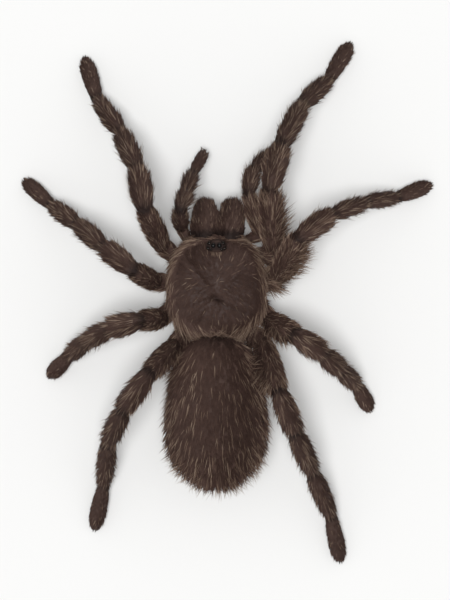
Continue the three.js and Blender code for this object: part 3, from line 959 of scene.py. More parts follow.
def write_coat_map(mesh):
    """Fills in the map for a whole skin. Returns each point's part and its place when flattened."""
    points, outwards = points_of(mesh), outwards_of(mesh)
    part = distances_from_parts(points).argmin(1)
    table = {name: np.zeros((len(points), 3) if name == "lie" else len(points)) for name in NUMBERS}
    flat = np.zeros((len(points), 2))
    for index, name in enumerate(PARTS):
        mine = part == index
        if name in LINES:
            values = limb_map(LINES[name], points[mine])
        elif name == "abdomen":
            values = abdomen_map(points[mine], outwards[mine])
        elif name == "trunk":
            values = trunk_map(points[mine], outwards[mine])
        else:
            values = chelicera_map(side_of(name), points[mine], outwards[mine])
        flat[mine] = values.pop("flat")
        for key, numbers in values.items():
            table[key][mine] = numbers
    under_shell = (points[:, 2] > shell_low[2] - 0.4 * MM) & inside_carapace(points, 0.97)
    table["cover"][under_shell] = 0
    for name, numbers in table.items():
        write_numbers(mesh, name, numbers)
    return part, flat


# %% [markdown]
# ## The carapace
#
# The carapace is a hard plate, so it is a piece of its own and not part of the skin. It is an egg in plan,
# low and domed. In front a raised head region carries the eyes, bounded by a groove that runs back to the
# fovea, a pit across the middle where a muscle is anchored inside. From the fovea shallow furrows fan out
# to the spaces between the legs. All of that is one height above one plan, so it is drawn as a formula on
# a round grid.

# %% The carapace's sizes
SHELL = {
    "widest": 2.0,
    "front": 12.0,
    "rear": 8.0,
    "half_width": 9.8,
    "power": 2.6,
    "rim_top": 9.55,
    "dome": 3.75,
    "head_rise": 1.5,
    "thickness": 0.75,
}
SHELL_INSET = 0.3  # mm by which the bare plate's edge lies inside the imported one, which has its fringe on
FOVEA_Y = 2.8
FURROWS = (38, 76, 108, 146)  # degrees from straight ahead, seen from the fovea
FURROW_DEPTHS = (0.34, 0.17, 0.17, 0.16)  # the first is the groove round the head region
SHELL_RINGS, SHELL_SPOKES = 56, 144


def superellipse(angle, power):
    """Shares of the half axes, across and ahead, at an angle from straight ahead."""
    shares = np.array([np.sin(angle), np.cos(angle)])
    return np.sign(shares) * np.abs(shares) ** (2 / power)


def share_out(x, y):
    """The share of the way out to the carapace's edge, of a point in millimetres."""
    ahead = SHELL["widest"] - y
    length = np.where(ahead > 0, SHELL["front"], SHELL["rear"]) - SHELL_INSET
    width = SHELL["half_width"] - SHELL_INSET
    power = SHELL["power"]
    return (np.abs(x / width) ** power + np.abs(ahead / length) ** power) ** (1 / power)


def inside_carapace(points, share):
    """Whether points in metres lie under the carapace."""
    x, y = ((points - ORIGIN) / MM)[:, :2].T
    return share_out(x, y) < share


def shell_height(x, y, share):
    """The top of the bare plate in millimetres above the floor."""
    dome = SHELL["dome"] * np.sqrt(np.clip(1 - share ** SHELL["power"], 0, 1))
    edge = 1 - share**6
    head = SHELL["head_rise"] * bump(y + 6, 4.2) * bump(x, 4.6) * edge
    pit = 0.8 * bump(x, 1.4) * bump(y - FOVEA_Y - 0.12 * x**2, 0.5)
    fovea = pit + 0.3 * bump(x, 2.2) * bump(y - FOVEA_Y, 1.6)
    away = np.hypot(x, y - FOVEA_Y)
    heading = np.degrees(np.arctan2(np.abs(x), FOVEA_Y - y))
    cut = 0
    for furrow, depth in zip(FURROWS, FURROW_DEPTHS):
        aside = away * np.sin(np.radians(heading - furrow))
        ahead = np.cos(np.radians(heading - furrow)) > 0
        cut = cut + depth * bump(aside, 0.55) * ahead * ramp(away, 1.0, 3.2) * (1 - ramp(share, 0.72, 0.96))
    lip = 0.16 * bump(share - 0.985, 0.02)
    return SHELL["rim_top"] + dome + head - fovea - cut + lip


# %% The plate
def make_carapace():
    """The plate's top, its rounded edge and its underside, on one round grid."""
    angles = np.linspace(0, 2 * np.pi, SHELL_SPOKES, endpoint=False)
    across, ahead = superellipse(angles, SHELL["power"])
    width = SHELL["half_width"] - SHELL_INSET
    length = np.where(ahead > 0, SHELL["front"], SHELL["rear"]) - SHELL_INSET
    shares = np.sin(np.linspace(0, np.pi / 2, SHELL_RINGS + 1)[1:]) ** 0.9
    rings = []
    for share in shares:
        x = share * across * width
        y = SHELL["widest"] - share * ahead * length
        rings.append(np.column_stack([x, y, shell_height(x, y, np.full_like(x, share))]))
    edge = rings[-1]
    for turn in (0.35, 0.7, 1.0):
        inset = 1 - 0.02 * turn
        drop = SHELL["thickness"] * turn
        rings.append(np.column_stack([edge[:, 0] * inset, edge[:, 1] * inset, edge[:, 2] - drop]))
    underside = edge[:, 2] - SHELL["thickness"]
    for share in (0.9, 0.6, 0.3):
        rings.append(np.column_stack([edge[:, 0] * share, edge[:, 1] * share, underside]))
    middle_y = SHELL["widest"]
    top = np.array([[0, middle_y, shell_height(0.0, middle_y, 0.0)]])
    bottom = np.array([[0, 0, SHELL["rim_top"] - SHELL["thickness"]]])
    places, faces = capped(np.array(rings), top, bottom)
    return new_piece("carapace_plate", ORIGIN + MM * places, faces)


carapace = make_carapace()
part_of_point, flat_of_point = write_coat_map(skin.data)
counts = {name: int(np.sum(part_of_point == index)) for index, name in enumerate(PARTS)}
print("points of skin on each part:", counts)

# %% [markdown]
# ## The carapace's own map
#
# The hairs of the plate are short and lie flat, so that the hard surface shows between them. Round the
# edge they grow into a fringe that sweeps back, longest at the rear. There is a paler tuft behind the
# eyes, and the mound of the eyes is nearly bare.

# %% What grows on the carapace
EYES_BARE = 0.75  # the share of the hairs that is missing round the eyes


def carapace_map(mesh):
    """Short hairs that point away from the fovea, and a long fringe that sweeps back round the edge."""
    points, outwards = points_of(mesh), outwards_of(mesh)
    x, y = ((points - ORIGIN) / MM)[:, :2].T
    share = share_out(x, y)
    rear = ramp(y, 3, 9)
    fringe = ramp(share, 0.83 - 0.12 * rear, 0.94)
    ahead = SHELL["widest"] - y
    length = np.where(ahead > 0, SHELL["front"], SHELL["rear"])
    slope = SHELL["power"] - 1
    outward_x = np.sign(x) * np.abs(x / SHELL["half_width"]) ** slope / SHELL["half_width"]
    outward_y = -np.sign(ahead) * np.abs(ahead / length) ** slope / length
    outward = unit(np.column_stack([outward_x, outward_y, np.zeros(len(x))]))
    side = np.where(x >= 0, 1.0, -1.0)
    round_back = np.cross(UP, outward) * side[:, None]
    from_fovea = unit(np.column_stack([x, y - FOVEA_Y, np.zeros(len(x))]))
    backwards = 0.6 * ramp(y, -6, 2)[:, None] * BACK
    forwards = -0.3 * ramp(-y, 2, 8)[:, None] * BACK
    inner = from_fovea * 0.5 + backwards + forwards
    outer = round_back + 0.05 * outward + 0.6 * rear[:, None] * BACK
    aim = (1 - fringe)[:, None] * inner + fringe[:, None] * outer
    top = outwards[:, 2] > -0.2
    front_edge = ramp(-y, 7.5, 9.5)
    by_eyes = bump(np.hypot(x, y + 7.4), 1.9)
    behind_eyes = bump(np.hypot(x / 1.7, y + 5.7), 0.6)
    grown = {
        "lie": along_skin(aim, outwards),
        "reach": (1.15 + (1.5 + 2.1 * rear - 0.4 * front_edge) * fringe) * MM,
        "stand": np.radians(6 + 3 * fringe + 2 * rear * fringe),
        "cover": top * (0.45 + 0.55 * fringe) * (1 - EYES_BARE * by_eyes) + 1.3 * behind_eyes,
        "pale": 0.04 + (0.27 + 0.23 * rear + 0.2 * front_edge) * fringe + 0.6 * behind_eyes,
        # painted shade: the fovea's pit is darkened
        "gloom": 0.5 * bump(np.hypot(x / 1.6, y - FOVEA_Y), 0.6),
        "tone": 0.92 + 0.2 * fringe,
        "lungs": np.zeros(len(points)),
    }
    for name, numbers in grown.items():
        write_numbers(mesh, name, numbers)
    return np.column_stack([turn_share(x, -ahead), 0.9 * share])


shell_flat = carapace_map(carapace.data)
print("the carapace has", triangles_in(carapace), "triangles")

# %% [markdown]
# ## The eyes
#
# Eight small eyes sit on one low mound near the front of the carapace: a pair of round dark ones that look
# up and forward, and three pairs of paler, flatter ones round them. Each is a clear lens of cuticle over a
# dark cup, so a polished bead of near black with a wet gloss stands for it. The beads are sunk in the
# mound, as deep as a real lens sits. The mound grows out of the plate, so its flanks run down into the
# plate and end under it, and no edge shows from any side. Its skin is darkest round each lens.

# %% The mound and its eyes
MOUND = {"y": -7.4, "half_width": 2.1, "half_length": 1.35, "height": 1.6, "sunk": 0.35, "flatter": 0.94}
MOUND_FLANK = (0.82, 1.25)  # shares of the way out between which the mound passes into the plate
EYES = {  # distance from the midline, distance behind the mound's middle and radius
    "front_middle": (0.6, -0.15, 0.5),
    "front_outer": (1.36, -0.62, 0.42),
    "rear_outer": (1.62, 0.36, 0.36),
    "rear_middle": (1.05, 0.55, 0.27),
}
EYE_DEPTH = 0.45  # the share of its radius by which an eye's middle lies below the mound's surface
EYE_RING = {"height": 0.12, "at": 1.15, "width": 0.35}  # mm, and shares of the eye's radius
mound_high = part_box("eye_mound")[1]


def mound_rise(x, y):
    """The mound's height over its own floor, in millimetres."""
    left = 1 - (x / MOUND["half_width"]) ** 2 - (y / MOUND["half_length"]) ** 2
    return MOUND["height"] * np.sqrt(np.clip(left, 0, 1))


middle_x, middle_y, middle_size = EYES["front_middle"]
EYES_FLOOR = mound_high[2] / MM - float(mound_rise(middle_x, middle_y)) - middle_size * (1 - EYE_DEPTH)


def make_mound():
    """A low dome whose flanks run down into the carapace, with a raised ring round each eye."""
    rings = []
    angles = np.linspace(0, 2 * np.pi, 72, endpoint=False)
    for share in np.linspace(0.04, MOUND_FLANK[1], 30):
        x = np.sin(angles) * MOUND["half_width"] * share
        behind_middle = np.cos(angles) * MOUND["half_length"] * share
        y = behind_middle + MOUND["y"]
        z = mound_rise(x, behind_middle) * MOUND["flatter"]
        plate = shell_height(x, y, share_out(x, y)) - MOUND["sunk"]
        flank = ramp(share, *MOUND_FLANK)
        for aside, behind, radius in EYES.values():
            for side in (1, -1):
                away = np.hypot(x - side * aside, behind_middle - behind)
                ring = bump(away - radius * EYE_RING["at"], radius * EYE_RING["width"])
                z = z + EYE_RING["height"] * ring * (share < 1.05)
        rings.append(np.column_stack([x, y, (1 - flank) * (EYES_FLOOR + z) + flank * plate]))
    top = np.array([[0, MOUND["y"], EYES_FLOOR + float(mound_rise(0, 0)) * MOUND["flatter"]]])
    bottom = np.array([[0, MOUND["y"], EYES_FLOOR - 1.4]])
    places, faces = capped(np.array(rings), top, bottom)
    mound = new_piece("eye_mound_skin", ORIGIN + MM * places, faces)
    write_numbers(mound.data, "gloom", mound_gloom(points_of(mound.data)))
    write_numbers(mound.data, "tone", np.ones(len(mound.data.vertices)))
    return mound


def mound_gloom(points):
    """How dark the mound's skin is: along its middle and in a ring round each eye, not on its flanks."""
    across, along, height = (points - ORIGIN).T / MM
    behind_middle = along - MOUND["y"]
    dark = 0.9 * (1 - ramp(np.abs(behind_middle), 0.5, 1.1)) * (1 - ramp(np.abs(across), 1.6, 2.2))
    for aside, behind, radius in EYES.values():
        away = np.hypot(np.abs(across) - aside, behind_middle - behind)
        dark = np.maximum(dark, 1 - ramp(away, radius * EYE_RING["at"], radius * 1.9))
    return dark * ramp(height, EYES_FLOOR - 0.2, EYES_FLOOR + 0.25)


def make_eyes(pairs, name):
    """Round lenses, sunk partly into the mound."""
    parts = []
    for aside, behind, radius in pairs:
        for side in (1, -1):
            places, faces = egg(2.0, 14, 20)
            rise = float(mound_rise(aside, behind)) - radius * EYE_DEPTH
            middle = np.array([side * aside, MOUND["y"] + behind, EYES_FLOOR + rise])
            parts.append((ORIGIN + MM * (middle + places * radius), faces))
    return new_piece(name, *joined(parts))


eye_mound = make_mound()
dark_eyes = make_eyes([EYES["front_middle"]], "eyes_front_middle")
pale_eyes = make_eyes([EYES[name] for name in ("front_outer", "rear_outer", "rear_middle")], "eyes_outer")
print("eyes:", triangles_in(dark_eyes) + triangles_in(pale_eyes), "triangles")

# %% [markdown]
# ## Fangs and claws
#
# A fang is a hollow black horn, polished by use, red-brown where it is thinnest at its base. It hinges at
# the front of the jaw and folds back under it. Each foot ends in two tiny curved claws between the lobes
# of its pad, and a palp in one. Both are the same shape at two sizes: a cone bent along an arc. The soles
# rest flat on the floor, so the roots of the claws are kept high enough for their tips to clear it.

# %% A bent, tapering horn
def horn(start, forward, down, length, radius, bend, rows=22, columns=18):
    """A horn from a point: it sets off downwards and curves towards the forward direction."""
    turn = math.radians(bend)
    parts = []
    aside = np.cross(forward, down)
    angles = np.linspace(0, 2 * np.pi, columns, endpoint=False)
    for share in np.linspace(0, 0.98, rows):
        angle = share * turn
        arc = length / turn
        middle = start + arc * (math.sin(angle) * down + (1 - math.cos(angle)) * forward)
        inward = math.cos(angle) * forward - math.sin(angle) * down
        girth = radius * (1 - share) ** 0.62 * (1 + 0.12 * bump(share, 0.08))
        parts.append(middle + girth * (np.cos(angles)[:, None] * inward + np.sin(angles)[:, None] * aside))
    tip = start + arc * (math.sin(turn) * down + (1 - math.cos(turn)) * forward)
    return capped(np.array(parts), start[None], tip[None])


FANG = {"y": -15.9, "z": 6.2, "length": 5.9, "radius": 0.82, "bend": 92}
fangs = []
for name, side in (("left", 1), ("right", -1)):
    start = at(side * aside_of_chelicera(side, FANG["y"]), FANG["y"], FANG["z"])
    shape = horn(start, BACK, -UP, FANG["length"] * MM, FANG["radius"] * MM, FANG["bend"])
    fang = new_piece(f"fang_{name}_horn", *shape)
    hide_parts(f"fang_{name}")
    fangs.append(fang)


CLAW = {"length": 0.95, "radius": 0.12, "bend": 75, "lowest_root": 0.72}
CLAW_ROOT = {"ahead": 0.55, "above": 0.2}  # shares of the foot's girth
CLAWS_ASIDE = {"palp": (0,), "leg": (0.42, -0.42)}  # one claw in the middle, or one on each side


def make_claws():
    """Two claws at the end of each leg and one at the end of each palp. They curve down to the floor."""
    parts = []
    for line in LINES.values():
        tip, along, aside = (line[key][-1] for key in ("points", "along", "aside"))
        girth = line["girths"][-1]
        ahead = unit(along - dot(along, UP) * UP)
        for side in CLAWS_ASIDE["palp" if line["name"].startswith("palp") else "leg"]:
            start = tip + ahead * girth * CLAW_ROOT["ahead"] + side * aside * girth
            start = start + UP * girth * CLAW_ROOT["above"]
            start[2] = max(start[2], CLAW["lowest_root"] * MM)
            size = (CLAW["length"] * MM, CLAW["radius"] * MM, CLAW["bend"])
            parts.append(horn(start, -UP, ahead, *size, rows=9, columns=8))
    return new_piece("claws", *joined(parts))


claws = make_claws()
print("fangs and claws:", sum(triangles_in(piece) for piece in fangs + [claws]), "triangles")

# %% [markdown]
# ## Helpers for node trees
#
# Materials and Geometry Nodes are both trees of nodes, so one small function serves both: it adds a node,
# sets what it is told and links what it is given. Colours are written as they would be picked on a screen
# and turned to the linear values that Blender works in.

# %% Adding a node, and a colour
def colour(code):
    """A linear colour from an sRGB hex code."""
    shares = [int(code[i : i + 2], 16) / 255 for i in (1, 3, 5)]
    linear = [s / 12.92 if s <= 0.04045 else ((s + 0.055) / 1.055) ** 2.4 for s in shares]
    return (*linear, 1.0)


def add(tree, kind, inputs=None, steps=(), **settings):
    """Adds a node with its settings, a colour ramp with its (share, hex code) steps as well.

    An input takes a value or a socket to be linked to it. A node stands for its first output.
    """
    node = tree.nodes.new(kind)
    for name, value in settings.items():
        setattr(node, name, value)
    for key, value in (inputs or {}).items():
        source = value.outputs[0] if isinstance(value, bpy.types.Node) else value
        if isinstance(source, bpy.types.NodeSocket):
            tree.links.new(source, node.inputs[key])
        else:
            node.inputs[key].default_value = source
    if steps:
        elements = node.color_ramp.elements
        while len(elements) < len(steps):
            elements.new(0.5)
        for element, (position, code) in zip(elements, steps):
            element.position = position
            element.color = colour(code)
    return node


print("a brown in Blender's own values:", [round(share, 3) for share in colour("#513e37")])

# %% [markdown]
# ## Growing the bristles
#
# Tens of thousands of bristles repeat one shape, which is what Geometry Nodes are for. The tree scatters
# points over a patch of skin, sets a small tuft on each, turned the way the map says, and bends the tufts
# back towards the skin. Each bristle is a thin three-sided blade of ten triangles, and a tuft is three of
# them that spread a little, so the coat looks combed but not machine made.
#
# The tree is built here in steps, one for each cell. First comes the group itself with its named inputs,
# which are what one coat may have different from the next.

# %% The tree and its inputs
BRISTLES = bpy.data.node_groups.new("bristle coat", "GeometryNodeTree")
BRISTLES.interface.new_socket("Skin", in_out="INPUT", socket_type="NodeSocketGeometry")
for name in ("Tufts per square metre", "Thickness", "Unevenness", "Curl", "Clump size", "Clumping"):
    BRISTLES.interface.new_socket(name, in_out="INPUT", socket_type="NodeSocketFloat")
BRISTLES.interface.new_socket("Seed", in_out="INPUT", socket_type="NodeSocketInt")
BRISTLES.interface.new_socket("Finish", in_out="INPUT", socket_type="NodeSocketMaterial")
BRISTLES.interface.new_socket("Coat", in_out="OUTPUT", socket_type="NodeSocketGeometry")
SOCKETS = {item.name: item.identifier for item in BRISTLES.interface.items_tree if item.in_out == "INPUT"}
given = add(BRISTLES, "NodeGroupInput").outputs
print("a coat is told:", ", ".join(SOCKETS))

# %% [markdown]
# ## What the tree reads and what it draws by chance
#
# The map's numbers are read by name. The directions are vectors, the rest are plain numbers. Everything
# that differs from tuft to tuft by chance has its own step on the seed, so that the draws don't follow
# each other, and the same coat grows at every run.

# %% Readings and chances
VECTORS = ("lie", "arch", "leaf_place", "root_place")
read = {}
for name in VECTORS + ("reach", "stand", "cover", "pale", "tip"):
    kind = "FLOAT_VECTOR" if name in VECTORS else "FLOAT"
    read[name] = add(BRISTLES, "GeometryNodeInputNamedAttribute", {"Name": name}, data_type=kind)
CHANCES = {  # lowest value, highest value, step on the seed
    "paleness": (0.0, 1.0, 11),
    "dark shade": (0.0, 0.45, 12),
    "pale shade": (0.55, 1.0, 13),
    "length": (0.7, 1.15, 14),
    "angle": (0.6, 1.45, 15),
    "girth": (0.8, 1.2, 16),
}
STRAY_SEED, SHAPE_SEED = 21, 31
drawn = {}
for name, (low, high, step) in CHANCES.items():
    seed = add(BRISTLES, "ShaderNodeMath", {0: given["Seed"], 1: float(step)}, operation="ADD")
    chance = add(BRISTLES, "FunctionNodeRandomValue", {2: low, 3: high, 8: seed}, data_type="FLOAT")
    drawn[name] = chance.outputs[1]
print("read:", ", ".join(read))
print("drawn by chance:", ", ".join(drawn))

# %% [markdown]
# ## Where the tufts stand, and which are pale
#
# Bristles are rooted all over, but more densely on some segments than on others, so the points are
# scattered by the map's cover. Among the dark brown ones stand longer ones that the sun has bleached. They
# come in loose patches, because neighbours wear alike, and a soft noise decides where the patches are.

# %% Roots and shades
wanted = {0: read["cover"], 1: given["Tufts per square metre"]}
density = add(BRISTLES, "ShaderNodeMath", wanted, operation="MULTIPLY")
scatter = add(
    BRISTLES,
    "GeometryNodeDistributePointsOnFaces",
    {"Mesh": given["Skin"], "Density": density, "Seed": given["Seed"]},
    distribute_method="RANDOM",
)
outward = scatter.outputs["Normal"]
root = add(BRISTLES, "GeometryNodeInputPosition")
noise = {"Vector": root, "Scale": given["Clump size"], "Detail": 1.0}
clumps = add(BRISTLES, "ShaderNodeTexNoise", noise)
doubled = add(BRISTLES, "ShaderNodeMath", {0: clumps, 1: 2.0}, operation="MULTIPLY")
patchy = add(BRISTLES, "ShaderNodeMath", {0: read["pale"], 1: doubled}, operation="MULTIPLY")
is_pale = add(BRISTLES, "ShaderNodeMath", {0: drawn["paleness"], 1: patchy}, operation="LESS_THAN")
shades = {0: is_pale, 2: drawn["dark shade"], 3: drawn["pale shade"]}
shade = add(BRISTLES, "ShaderNodeMix", shades, data_type="FLOAT")
print("dark shades go up to", CHANCES["dark shade"][1], "and pale ones start at", CHANCES["pale shade"][0])

# %% [markdown]
# ## How long and how thick
#
# No two bristles are the same length, and the pale ones are longer and stouter than the rest.

# %% Length and girth
STRAND = {"girth": 1.35, "length": 1.35, "steeper": 0.2}  # a long pale bristle against the others
longer = add(
    BRISTLES, "ShaderNodeMath", {0: is_pale, 1: STRAND["length"] - 1, 2: 1.0}, operation="MULTIPLY_ADD"
)
length = add(BRISTLES, "ShaderNodeMath", {0: read["reach"], 1: drawn["length"]}, operation="MULTIPLY")
length = add(BRISTLES, "ShaderNodeMath", {0: length, 1: longer}, operation="MULTIPLY")
thicker = add(
    BRISTLES, "ShaderNodeMath", {0: is_pale, 1: STRAND["girth"] - 1, 2: 1.0}, operation="MULTIPLY_ADD"
)
girth = add(BRISTLES, "ShaderNodeMath", {0: given["Thickness"], 1: drawn["girth"]}, operation="MULTIPLY")
girth = add(BRISTLES, "ShaderNodeMath", {0: girth, 1: thicker}, operation="MULTIPLY")
size = add(BRISTLES, "ShaderNodeCombineXYZ", {0: girth, 1: girth, 2: length})
print("a pale strand is", STRAND["length"], "times as long and", STRAND["girth"], "times as thick")

# %% [markdown]
# ## Which way they lie
#
# A bristle follows the lie of the coat, but never quite. Part of the straying is its own, and part it
# shares with its neighbours, which gives the coat its slow waves.
#
# Where bristles touch they also lean together, so that a real coat is parted into small locks with
# pointed ends. A cell pattern gives each tuft the middle of its lock, and the tuft leans towards it, the
# more so the shorter it is.

# %% Straying and locks
DRIFT = 1.6  # how strong the shared straying is against a tuft's own
LOCK_SIZE = 0.9 * MM  # neighbouring tufts within about this distance lean together
ends = {0: (-1, -1, -1), 1: (1, 1, 1), 8: STRAY_SEED}
stray = add(BRISTLES, "FunctionNodeRandomValue", ends, data_type="FLOAT_VECTOR")
drift = add(
    BRISTLES,
    "ShaderNodeVectorMath",
    {0: clumps.outputs["Color"], 1: (0.5, 0.5, 0.5)},
    operation="SUBTRACT",
)
drift = add(BRISTLES, "ShaderNodeVectorMath", {0: drift, "Scale": DRIFT}, operation="SCALE")
astray = add(BRISTLES, "ShaderNodeVectorMath", {0: stray, 1: drift}, operation="ADD")
astray = add(
    BRISTLES, "ShaderNodeVectorMath", {0: astray, "Scale": given["Unevenness"]}, operation="SCALE"
)
lie = add(BRISTLES, "ShaderNodeVectorMath", {0: read["lie"], 1: astray}, operation="ADD")
locks = add(BRISTLES, "ShaderNodeTexVoronoi", {"Vector": root, "Scale": 1 / LOCK_SIZE}, feature="F1")
to_lock = add(
    BRISTLES, "ShaderNodeVectorMath", {0: locks.outputs["Position"], 1: root}, operation="SUBTRACT"
)
above_skin = add(
    BRISTLES, "ShaderNodeVectorMath", {0: to_lock, 1: outward}, operation="DOT_PRODUCT"
).outputs["Value"]
above_skin = add(
    BRISTLES, "ShaderNodeVectorMath", {0: outward, "Scale": above_skin}, operation="SCALE"
)
to_lock = add(BRISTLES, "ShaderNodeVectorMath", {0: to_lock, 1: above_skin}, operation="SUBTRACT")
share = add(BRISTLES, "ShaderNodeMath", {0: given["Clumping"], 1: length}, operation="DIVIDE")
lean = add(BRISTLES, "ShaderNodeVectorMath", {0: to_lock, "Scale": share}, operation="SCALE")
lie = add(BRISTLES, "ShaderNodeVectorMath", {0: lie, 1: lean}, operation="ADD")
print(f"a lock is about {LOCK_SIZE / MM:.1f} mm wide")

# %% [markdown]
# ## How steeply they rise
#
# The map's angle tips each tuft off the skin. A bristle isn't straight, it arches back towards the skin,
# so the way back is kept as well and used once the tufts are in place. A steep one would bend through
# the skin, so there is a most that it may sag.

# %% Angle and arch
MOST_SAG = 0.32
steeper = add(
    BRISTLES, "ShaderNodeMath", {0: is_pale, 1: STRAND["steeper"], 2: 1.0}, operation="MULTIPLY_ADD"
)
angle = add(BRISTLES, "ShaderNodeMath", {0: read["stand"], 1: drawn["angle"]}, operation="MULTIPLY")
angle = add(BRISTLES, "ShaderNodeMath", {0: angle, 1: steeper}, operation="MULTIPLY")
cosine = add(BRISTLES, "ShaderNodeMath", {0: angle}, operation="COSINE")
sine = add(BRISTLES, "ShaderNodeMath", {0: angle}, operation="SINE")
flat_part = add(BRISTLES, "ShaderNodeVectorMath", {0: lie, "Scale": cosine}, operation="SCALE")
risen = add(BRISTLES, "ShaderNodeVectorMath", {0: outward, "Scale": sine}, operation="SCALE")
heading = add(BRISTLES, "ShaderNodeVectorMath", {0: flat_part, 1: risen}, operation="ADD")
heading = add(BRISTLES, "ShaderNodeVectorMath", {0: heading}, operation="NORMALIZE")
sag = add(BRISTLES, "ShaderNodeMath", {0: sine, 1: MOST_SAG}, operation="MINIMUM")
drop = add(BRISTLES, "ShaderNodeMath", {0: length, 1: given["Curl"]}, operation="MULTIPLY")
drop = add(BRISTLES, "ShaderNodeMath", {0: drop, 1: sag}, operation="MULTIPLY")
downwards = add(BRISTLES, "ShaderNodeMath", {0: drop, 1: -1.0}, operation="MULTIPLY")
arch = add(BRISTLES, "ShaderNodeVectorMath", {0: outward, "Scale": downwards}, operation="SCALE")
print("a full sag lowers a tip by up to", MOST_SAG, "of its length, times the curl")

# %% [markdown]
# ## The tufts
#
# A tuft's blades are cones of three sides, one unit tall, that lean apart. There are three such tufts and
# one single strand for the pale bristles. Each corner keeps its height as "tip", which the finish reads,
# and its place on a small leaf, which becomes the tuft's own spot on the flattened skin.

# %% One tuft, built in the tree
TUFT_SHAPES = (  # for each blade: place across, lean across, lean outwards, height
    ((-2.3, 1.9, 0.0, 0.88), (0.0, 0.2, 0.5, 1.0), (2.2, -1.7, 0.2, 0.9)),
    ((-2.0, 0.6, 0.4, 0.95), (0.2, -0.6, 0.0, 0.84), (2.4, -2.6, 0.3, 0.8)),
    ((-1.8, -1.6, 0.0, 0.8), (0.0, 0.4, 0.5, 1.0), (1.9, 2.2, 0.3, 0.86)),
)
STRAND_SHAPE = ((0.0, 0.4, 0.6, 1.0),)
CONE = {"Vertices": 3, "Side Segments": 2, "Radius Top": 0.0, "Radius Bottom": 1.0, "Depth": 1.0}
LEAF = {1: -6.0, 2: 6.0, 3: -0.5, 4: 0.5}  # from the blades' places across to shares of the leaf


def tuft(tree, blades):
    """Blades one unit tall side by side, as one thing to be set on a point."""
    made = add(tree, "GeometryNodeJoinGeometry")
    for across, lean, lift, height in blades:
        cone = add(tree, "GeometryNodeMeshCone", CONE, fill_type="NGON")
        corner = add(tree, "ShaderNodeSeparateXYZ", {0: add(tree, "GeometryNodeInputPosition")})
        x, y, z = corner.outputs
        marked = add(
            tree,
            "GeometryNodeStoreNamedAttribute",
            {"Geometry": cone, "Name": "tip", "Value": z},
            data_type="FLOAT",
            domain="POINT",
        )
        sway = add(tree, "ShaderNodeMath", {0: z, 1: lean, 2: across}, operation="MULTIPLY_ADD")
        rise = add(tree, "ShaderNodeMath", {0: z, 1: lift, 2: 0.0}, operation="MULTIPLY_ADD")
        new_x = add(tree, "ShaderNodeMath", {0: x, 1: sway}, operation="ADD")
        new_y = add(tree, "ShaderNodeMath", {0: y, 1: rise}, operation="ADD")
        new_z = add(tree, "ShaderNodeMath", {0: z, 1: height}, operation="MULTIPLY")
        moved = add(tree, "ShaderNodeCombineXYZ", {0: new_x, 1: new_y, 2: new_z})
        bent = add(tree, "GeometryNodeSetPosition", {"Geometry": marked, "Position": moved})
        tree.links.new(bent.outputs[0], made.inputs[0])
    corner = add(tree, "ShaderNodeSeparateXYZ", {0: add(tree, "GeometryNodeInputPosition")})
    leaf_x = add(tree, "ShaderNodeMapRange", {"Value": corner.outputs[0], **LEAF})
    leaf_y = add(tree, "ShaderNodeMath", {0: corner.outputs[2], 1: 0.5}, operation="SUBTRACT")
    leaf = add(tree, "ShaderNodeCombineXYZ", {0: leaf_x, 1: leaf_y})
    placed = add(
        tree,
        "GeometryNodeStoreNamedAttribute",
        {"Geometry": made, "Name": "leaf_place", "Value": leaf},
        data_type="FLOAT_VECTOR",
        domain="POINT",
    )
    return add(tree, "GeometryNodeGeometryToInstance", {0: placed}).outputs[0]


shapes = add(BRISTLES, "GeometryNodeJoinGeometry")
for blades in (STRAND_SHAPE, *TUFT_SHAPES):
    BRISTLES.links.new(tuft(BRISTLES, blades), shapes.inputs[0])
print(len(TUFT_SHAPES), "tufts of", len(TUFT_SHAPES[0]), "blades, and a strand of", len(STRAND_SHAPE))

# %% [markdown]
# ## Setting the tufts on the skin
#
# Instances cost almost nothing while one is at work, because they all share a few shapes. Each tuft is
# turned so that its blades point along its heading and spread across it. Then the instances are realized,
# that is turned into plain mesh, because only a plain mesh can be bent blade by blade and handed on.

# %% Instances, made real
STRAND_INDEX = len(TUFT_SHAPES)  # geometry joined first comes last when instances are picked by number
kept = add(
    BRISTLES,
    "GeometryNodeStoreNamedAttribute",
    {"Geometry": scatter, "Name": "shade", "Value": shade},
    data_type="FLOAT",
    domain="POINT",
)
kept = add(
    BRISTLES,
    "GeometryNodeStoreNamedAttribute",
    {"Geometry": kept, "Name": "arch", "Value": arch},
    data_type="FLOAT_VECTOR",
    domain="POINT",
)
turned = add(
    BRISTLES,
    "FunctionNodeAxesToRotation",
    {"Primary Axis": heading, "Secondary Axis": outward},
    primary_axis="Z",
    secondary_axis="Y",
)
numbers = {4: 0, 5: len(TUFT_SHAPES) - 1, 8: SHAPE_SEED}
number = add(BRISTLES, "FunctionNodeRandomValue", numbers, data_type="INT").outputs[2]
number = add(BRISTLES, "GeometryNodeSwitch", {0: is_pale, 1: number, 2: STRAND_INDEX}, input_type="INT")
grown = add(
    BRISTLES,
    "GeometryNodeInstanceOnPoints",
    {
        "Points": kept,
        "Instance": shapes,
        "Pick Instance": True,
        "Instance Index": number,
        "Rotation": turned,
        "Scale": size,
    },
)
real = add(BRISTLES, "GeometryNodeRealizeInstances", {0: grown})
print("the strand is number", STRAND_INDEX, "of the shapes, counted from 0")
